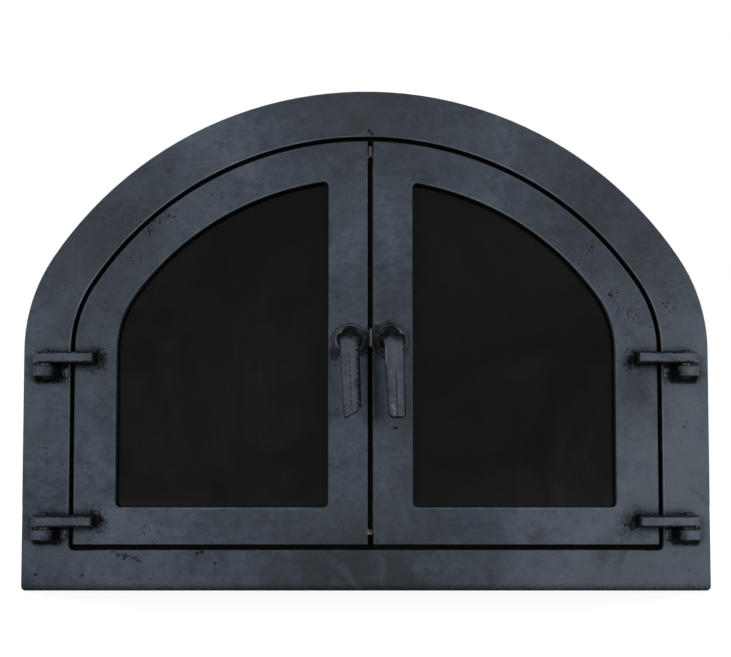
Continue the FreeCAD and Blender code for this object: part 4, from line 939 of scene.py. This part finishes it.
def meeting_cord():
    """Twisted cord in the gap between the leaves, in two lengths, with a thin lip that closes the gap."""
    low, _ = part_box("meeting_seal")
    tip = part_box("right_leaf")[0].x - CORD_EASE
    radius = (tip - low.x) / 2
    middle = Vector((low.x + radius, low.y + radius))
    lengths = cord_lengths()
    tubes = [(strand_points(middle, radius, number, start, stop), STRAND_SIDES, CORD_STEP)
             for start, stop in lengths for number in range(STRANDS)]
    bottom, top = lengths[0][0], lengths[1][1]
    tubes.append((lip_points(tip, bottom, top), LIP_CORNERS, LIP_STEP))
    ends = [(middle.x, middle.y, height) for height in (bottom, top, top - CLEAN_END)]
    material = woven_fibre("sooty_cord", CORD_WEAVE, ends)
    soft_piece("twisted_meeting_cord", *joined(tubes), "left_leaf_body", "meeting_seal", material)


def even_mesh(node, voxel):
    """Mesh of even small faces over a node's solid."""
    plain = bpy.data.objects.new("plain", nodes[node].data.copy())
    bpy.context.collection.objects.link(plain)
    skin = plain.modifiers.new("skin", "REMESH")
    skin.mode = "VOXEL"
    skin.voxel_size = voxel
    mesh = bpy.data.meshes.new_from_object(plain.evaluated_get(bpy.context.evaluated_depsgraph_get()))
    bpy.data.objects.remove(plain)
    return mesh


def smooth_step(amount, low, high):
    """0 up to one limit, 1 past another, and a smooth rise between them; the first may be the higher."""
    share = min(1.0, max(0.0, (amount - low) / (high - low)))
    return share * share * (3.0 - 2.0 * share)


def bump_at(amount, middle, width):
    """Bell curve about a middle, 1 at its top."""
    return math.exp(-((amount - middle) / width) ** 2)


def left_relief(across, height, rough):
    """Left lever: a groove and a ragged right edge; gives how deep a point is, how much painted shade it
    takes and how bare it is.
    """
    groove = bump_at(across + 0.06 * rough, -0.12, 0.11)
    groove *= smooth_step(height, 0.02, 0.12) * smooth_step(height, 0.88, 0.78)
    tooth = math.sin(math.tau * TEETH * height + 2.0 * across + 5.0 * rough)
    toothed = 0.15 * tooth * smooth_step(height, 0.15, 0.3)
    ragged = smooth_step(across + 0.2 * rough + toothed, 0.45, 0.8)
    ragged = max(ragged, smooth_step(across, 0.74, 0.86))
    tip = bump_at(across, 0.85, 0.25) * bump_at(height, 0.03, 0.05)
    depth = 0.0004 * groove + 0.0022 * ragged + 0.0006 * across ** 2
    return depth, max(0.66 * groove, ragged - tip), tip


def right_relief(across, height, rough):
    """Right lever: rounded and grooved, with a painted highlight on its left; gives how deep a point is, how
    much painted shade it takes, and how much bare metal and painted highlight it shows.
    """
    groove = bump_at(across + 0.1 * rough, 0.0, 0.10) * smooth_step(height, 0.7, 0.5)
    edge = smooth_step(across + 0.06 * rough, 0.74, 0.9)
    bright = bump_at(across, -0.92, 0.08) * smooth_step(height, 0.6, 0.7) * smooth_step(height, 0.95, 0.85)
    flecks = bump_at(across, -0.4, 0.35) * max(bump_at(height, 0.1, 0.1), bump_at(height, 0.58, 0.05))
    depth = 0.0003 * groove + 0.0016 * across ** 4
    return depth, max(0.9 * groove, 0.8 * edge), max(2.0 * bright, flecks)


def hood(spot, axis):
    """Point of a handle after its neck, behind the lever's face, is swelled to a round hood."""
    aside, above = spot.x - axis.x, spot.z - axis.z
    share = smooth_step(spot.y, *HOOD_DEPTHS) * smooth_step(above, *HOOD_HEIGHTS)
    reach = math.hypot(aside, above)
    if share == 0.0 or reach == 0.0:
        return spot
    filled = min(1.0, max(abs(aside) / NECK_HALF, abs(above) / NECK_RISE))
    grown = 1.0 + share * (HOOD_RADIUS * filled / reach - 1.0)
    return Vector((axis.x + aside * grown, spot.y, axis.z + above * grown))


def hood_shade(spot, axis):
    """How much painted shade the hood takes: its rounded top, lower on its left, and its sides beyond the
    lever.
    """
    above, share = spot.z - axis.z, (spot.x - axis.x) / LEVER_HALF
    down = HOOD_SHADE_LEFT if share < 0.0 else HOOD_SHADE_RIGHT
    rounded = above + down * min(1.0, abs(share)) ** 2
    beyond = smooth_step(abs(share), 0.99, 1.05) * smooth_step(above, -0.013, -0.008)
    return max(smooth_step(rounded, 0.0, 0.003), beyond)


def lever_place(spot, low, axis):
    """Height of a point on its lever, 0 at the tip and 1 at the axis, and its place across, -1 to 1."""
    height = (spot.z - low.z) / (axis.z - low.z)
    half = LEVER_HALF - LEVER_TAPER * (1.0 - height)
    return height, (spot.x - axis.x - LEVER_LEAN * (1.0 - height)) / half


def tip_rise(spot, across, height, slant, corner):
    """Rise of a lever's lower end, which slants raggedly or has its corners drawn up."""
    end = max(0.0, 1.0 - height / TIP_SHARE)
    ragged = 0.1 + 0.15 * bumpiness(Vector((spot.x * 500.0, 3.0, 0.0)))
    return end * (slant * ((across + 1.0) / 2 + ragged) + corner * max(0.0, abs(across) - 0.4) ** 2)


def hammered(vertex):
    """Point of a vertex after it is raised or sunk by the marks of hammering."""
    mark = sum(depth * bumpiness(vertex.co * fineness) for fineness, depth in HAMMER_MARKS)
    return vertex.co + vertex.normal * min(mark, HAMMER_LIMIT)


def softened(bm, depth):
    """Smooths the vertices in front of a depth and returns them."""
    worked = [vertex for vertex in bm.verts if vertex.co.y < depth]
    for _ in range(LEVER_SMOOTHINGS):
        bmesh.ops.smooth_vert(bm, verts=worked, factor=0.5,
                              use_axis_x=True, use_axis_y=True, use_axis_z=True)
    bm.normal_update()
    return worked


def forged_handle(side, relief, slant, corner, material):
    """Handle worked over from its plain solid: soft edges, hammer marks, a hood, a groove and a worn tip."""
    low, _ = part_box(f"{side}_handle")
    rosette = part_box(f"{side}_rosette")
    axis = (rosette[0] + rosette[1]) / 2
    mesh = even_mesh(f"{side}_handle", LEVER_VOXEL)
    bm = bmesh.new()
    bm.from_mesh(mesh)
    # Layers for painted shade, and for bare flecks with a painted highlight
    bm.verts.layers.float.new("shade_and_soot")
    bm.verts.layers.float.new("wear_and_highlight")
    shade_layer, bare_and_lit = bm.verts.layers.float["shade_and_soot"], bm.verts.layers.float["wear_and_highlight"]
    for vertex in softened(bm, rosette[0].y - RING_CLEARANCE):
        spot = vertex.co.copy()
        height, across = lever_place(spot, low, axis)
        deep, black, vertex[bare_and_lit] = relief(across, height, bumpiness(Vector((0.0, 7.0, spot.z * 420.0))))
        moved = hood(hammered(vertex), axis)
        # Painted shade on the lever: its groove, ragged edge, hood, and a painted shadow under the tip
        vertex[shade_layer] = max(black, hood_shade(moved, axis), smooth_step(height, 0.035, 0.012))
        front = max(0.0, 1.0 - (spot.y - low.y) / LEVER_DEPTH) * smooth_step(height, 0.95, 0.8)
        moved.x += LEVER_ASIDE[side] * smooth_step(height, 1.05, 0.88)
        moved.y += deep * front
        moved.z += LEVER_SHORTER[side] * max(0.0, 0.9 - height)
        moved.z += tip_rise(spot, across, height, slant, corner)
        vertex.co = moved
    bm.to_mesh(mesh)
    bm.free()
    body, replaced = f"{side}_handle_body", f"{side}_handle"
    new_piece(f"forged_{side}_handle", mesh, body, replaced, material)


def camera():
    """Camera low in front of the door, tipped up a little, with a small shift."""
    data = bpy.data.cameras.new("photo_camera")
    data.sensor_width = SENSOR_WIDTH * MM_PER_METRE
    data.lens = FOCAL_PIXELS * SENSOR_WIDTH * MM_PER_METRE / IMAGE_WIDTH
    data.shift_y = CAMERA_SHIFT
    made = bpy.data.objects.new("photo_camera", data)
    made.location = (CAMERA_SIDE, -CAMERA_DISTANCE, CAMERA_HEIGHT)
    made.rotation_euler = (math.pi / 2 + CAMERA_PITCH, 0.0, 0.0)
    bpy.context.collection.objects.link(made)
    bpy.context.scene.camera = made


def seen_directly(tree):
    """1 for rays from the camera, and for mirrored and refracted rays, else 0."""
    path = add(tree, "ShaderNodeLightPath")
    kinds = ("Is Camera Ray", "Is Glossy Ray", "Is Transmission Ray")
    return most(tree, *[path.outputs[kind] for kind in kinds])


def surround():
    """White surroundings that shed only a dim even light."""
    world = bpy.data.worlds.new("studio")
    bpy.context.scene.world = world
    world.use_nodes = True
    tree = world.node_tree
    colour = mix(tree, seen_directly(tree), (SURROUND, SURROUND, SURROUND), (1.0, 1.0, 1.0))
    tree.links.new(colour, tree.nodes["Background"].inputs["Color"])


def floor_finish():
    """Pale matt floor that shows white outside the door's shadow."""
    made, tree, shader, where = new_material("floor")
    shader.inputs["Base Color"].default_value = (FLOOR_TONE, FLOOR_TONE, FLOOR_TONE, 1.0)
    shader.inputs["Roughness"].default_value = 0.9
    shader.inputs["Specular IOR Level"].default_value = 0.0
    shader.inputs["Emission Color"].default_value = (1.0, 1.0, 1.0, 1.0)
    away = add(tree, "ShaderNodeVectorMath", {0: where}, operation="LENGTH").outputs["Value"]
    glow = ramp(tree, away, GLOW_STARTS, GLOW_ENDS, FLOOR_GLOW, FAR_GLOW)
    tree.links.new(times(tree, seen_directly(tree), glow), shader.inputs["Emission Strength"])
    return made


def floor():
    """Wide floor under the door."""
    half = FLOOR_SIZE / 2
    corners = [(-half, -half, 0), (half, -half, 0), (half, half, 0), (-half, half, 0)]
    mesh = bpy.data.meshes.new("floor")
    mesh.from_pydata(corners, [], [(0, 1, 2, 3)])
    mesh.materials.append(floor_finish())
    plane = bpy.data.objects.new("floor", mesh)
    bpy.context.collection.objects.link(plane)


def lamps():
    """Soft square lamps, all turned to the door."""
    for name, spot, power in LAMPS:
        data = bpy.data.lights.new(name, "AREA")
        data.shape = "SQUARE"
        data.size = LAMP_SIZE
        data.energy = power
        lamp = bpy.data.objects.new(name, data)
        lamp.location = spot
        lamp.rotation_euler = (LAMP_TARGET - Vector(spot)).to_track_quat("-Z", "Y").to_euler()
        bpy.context.collection.objects.link(lamp)


def main():
    """Dresses the door and sets the stage."""
    grip = dress()
    forged_handle("left", left_relief, LEFT_SLANT, 0.0, grip)
    forged_handle("right", right_relief, 0.0, RIGHT_CORNERS, grip)
    tape = woven_fibre("sooty_tape", TAPE_WEAVE)
    frame_tape(tape)
    glass_tape(-1, tape)
    glass_tape(1, tape)
    meeting_cord()
    camera()
    surround()
    floor()
    lamps()
    bpy.context.scene.view_settings.view_transform = "Standard"


main()
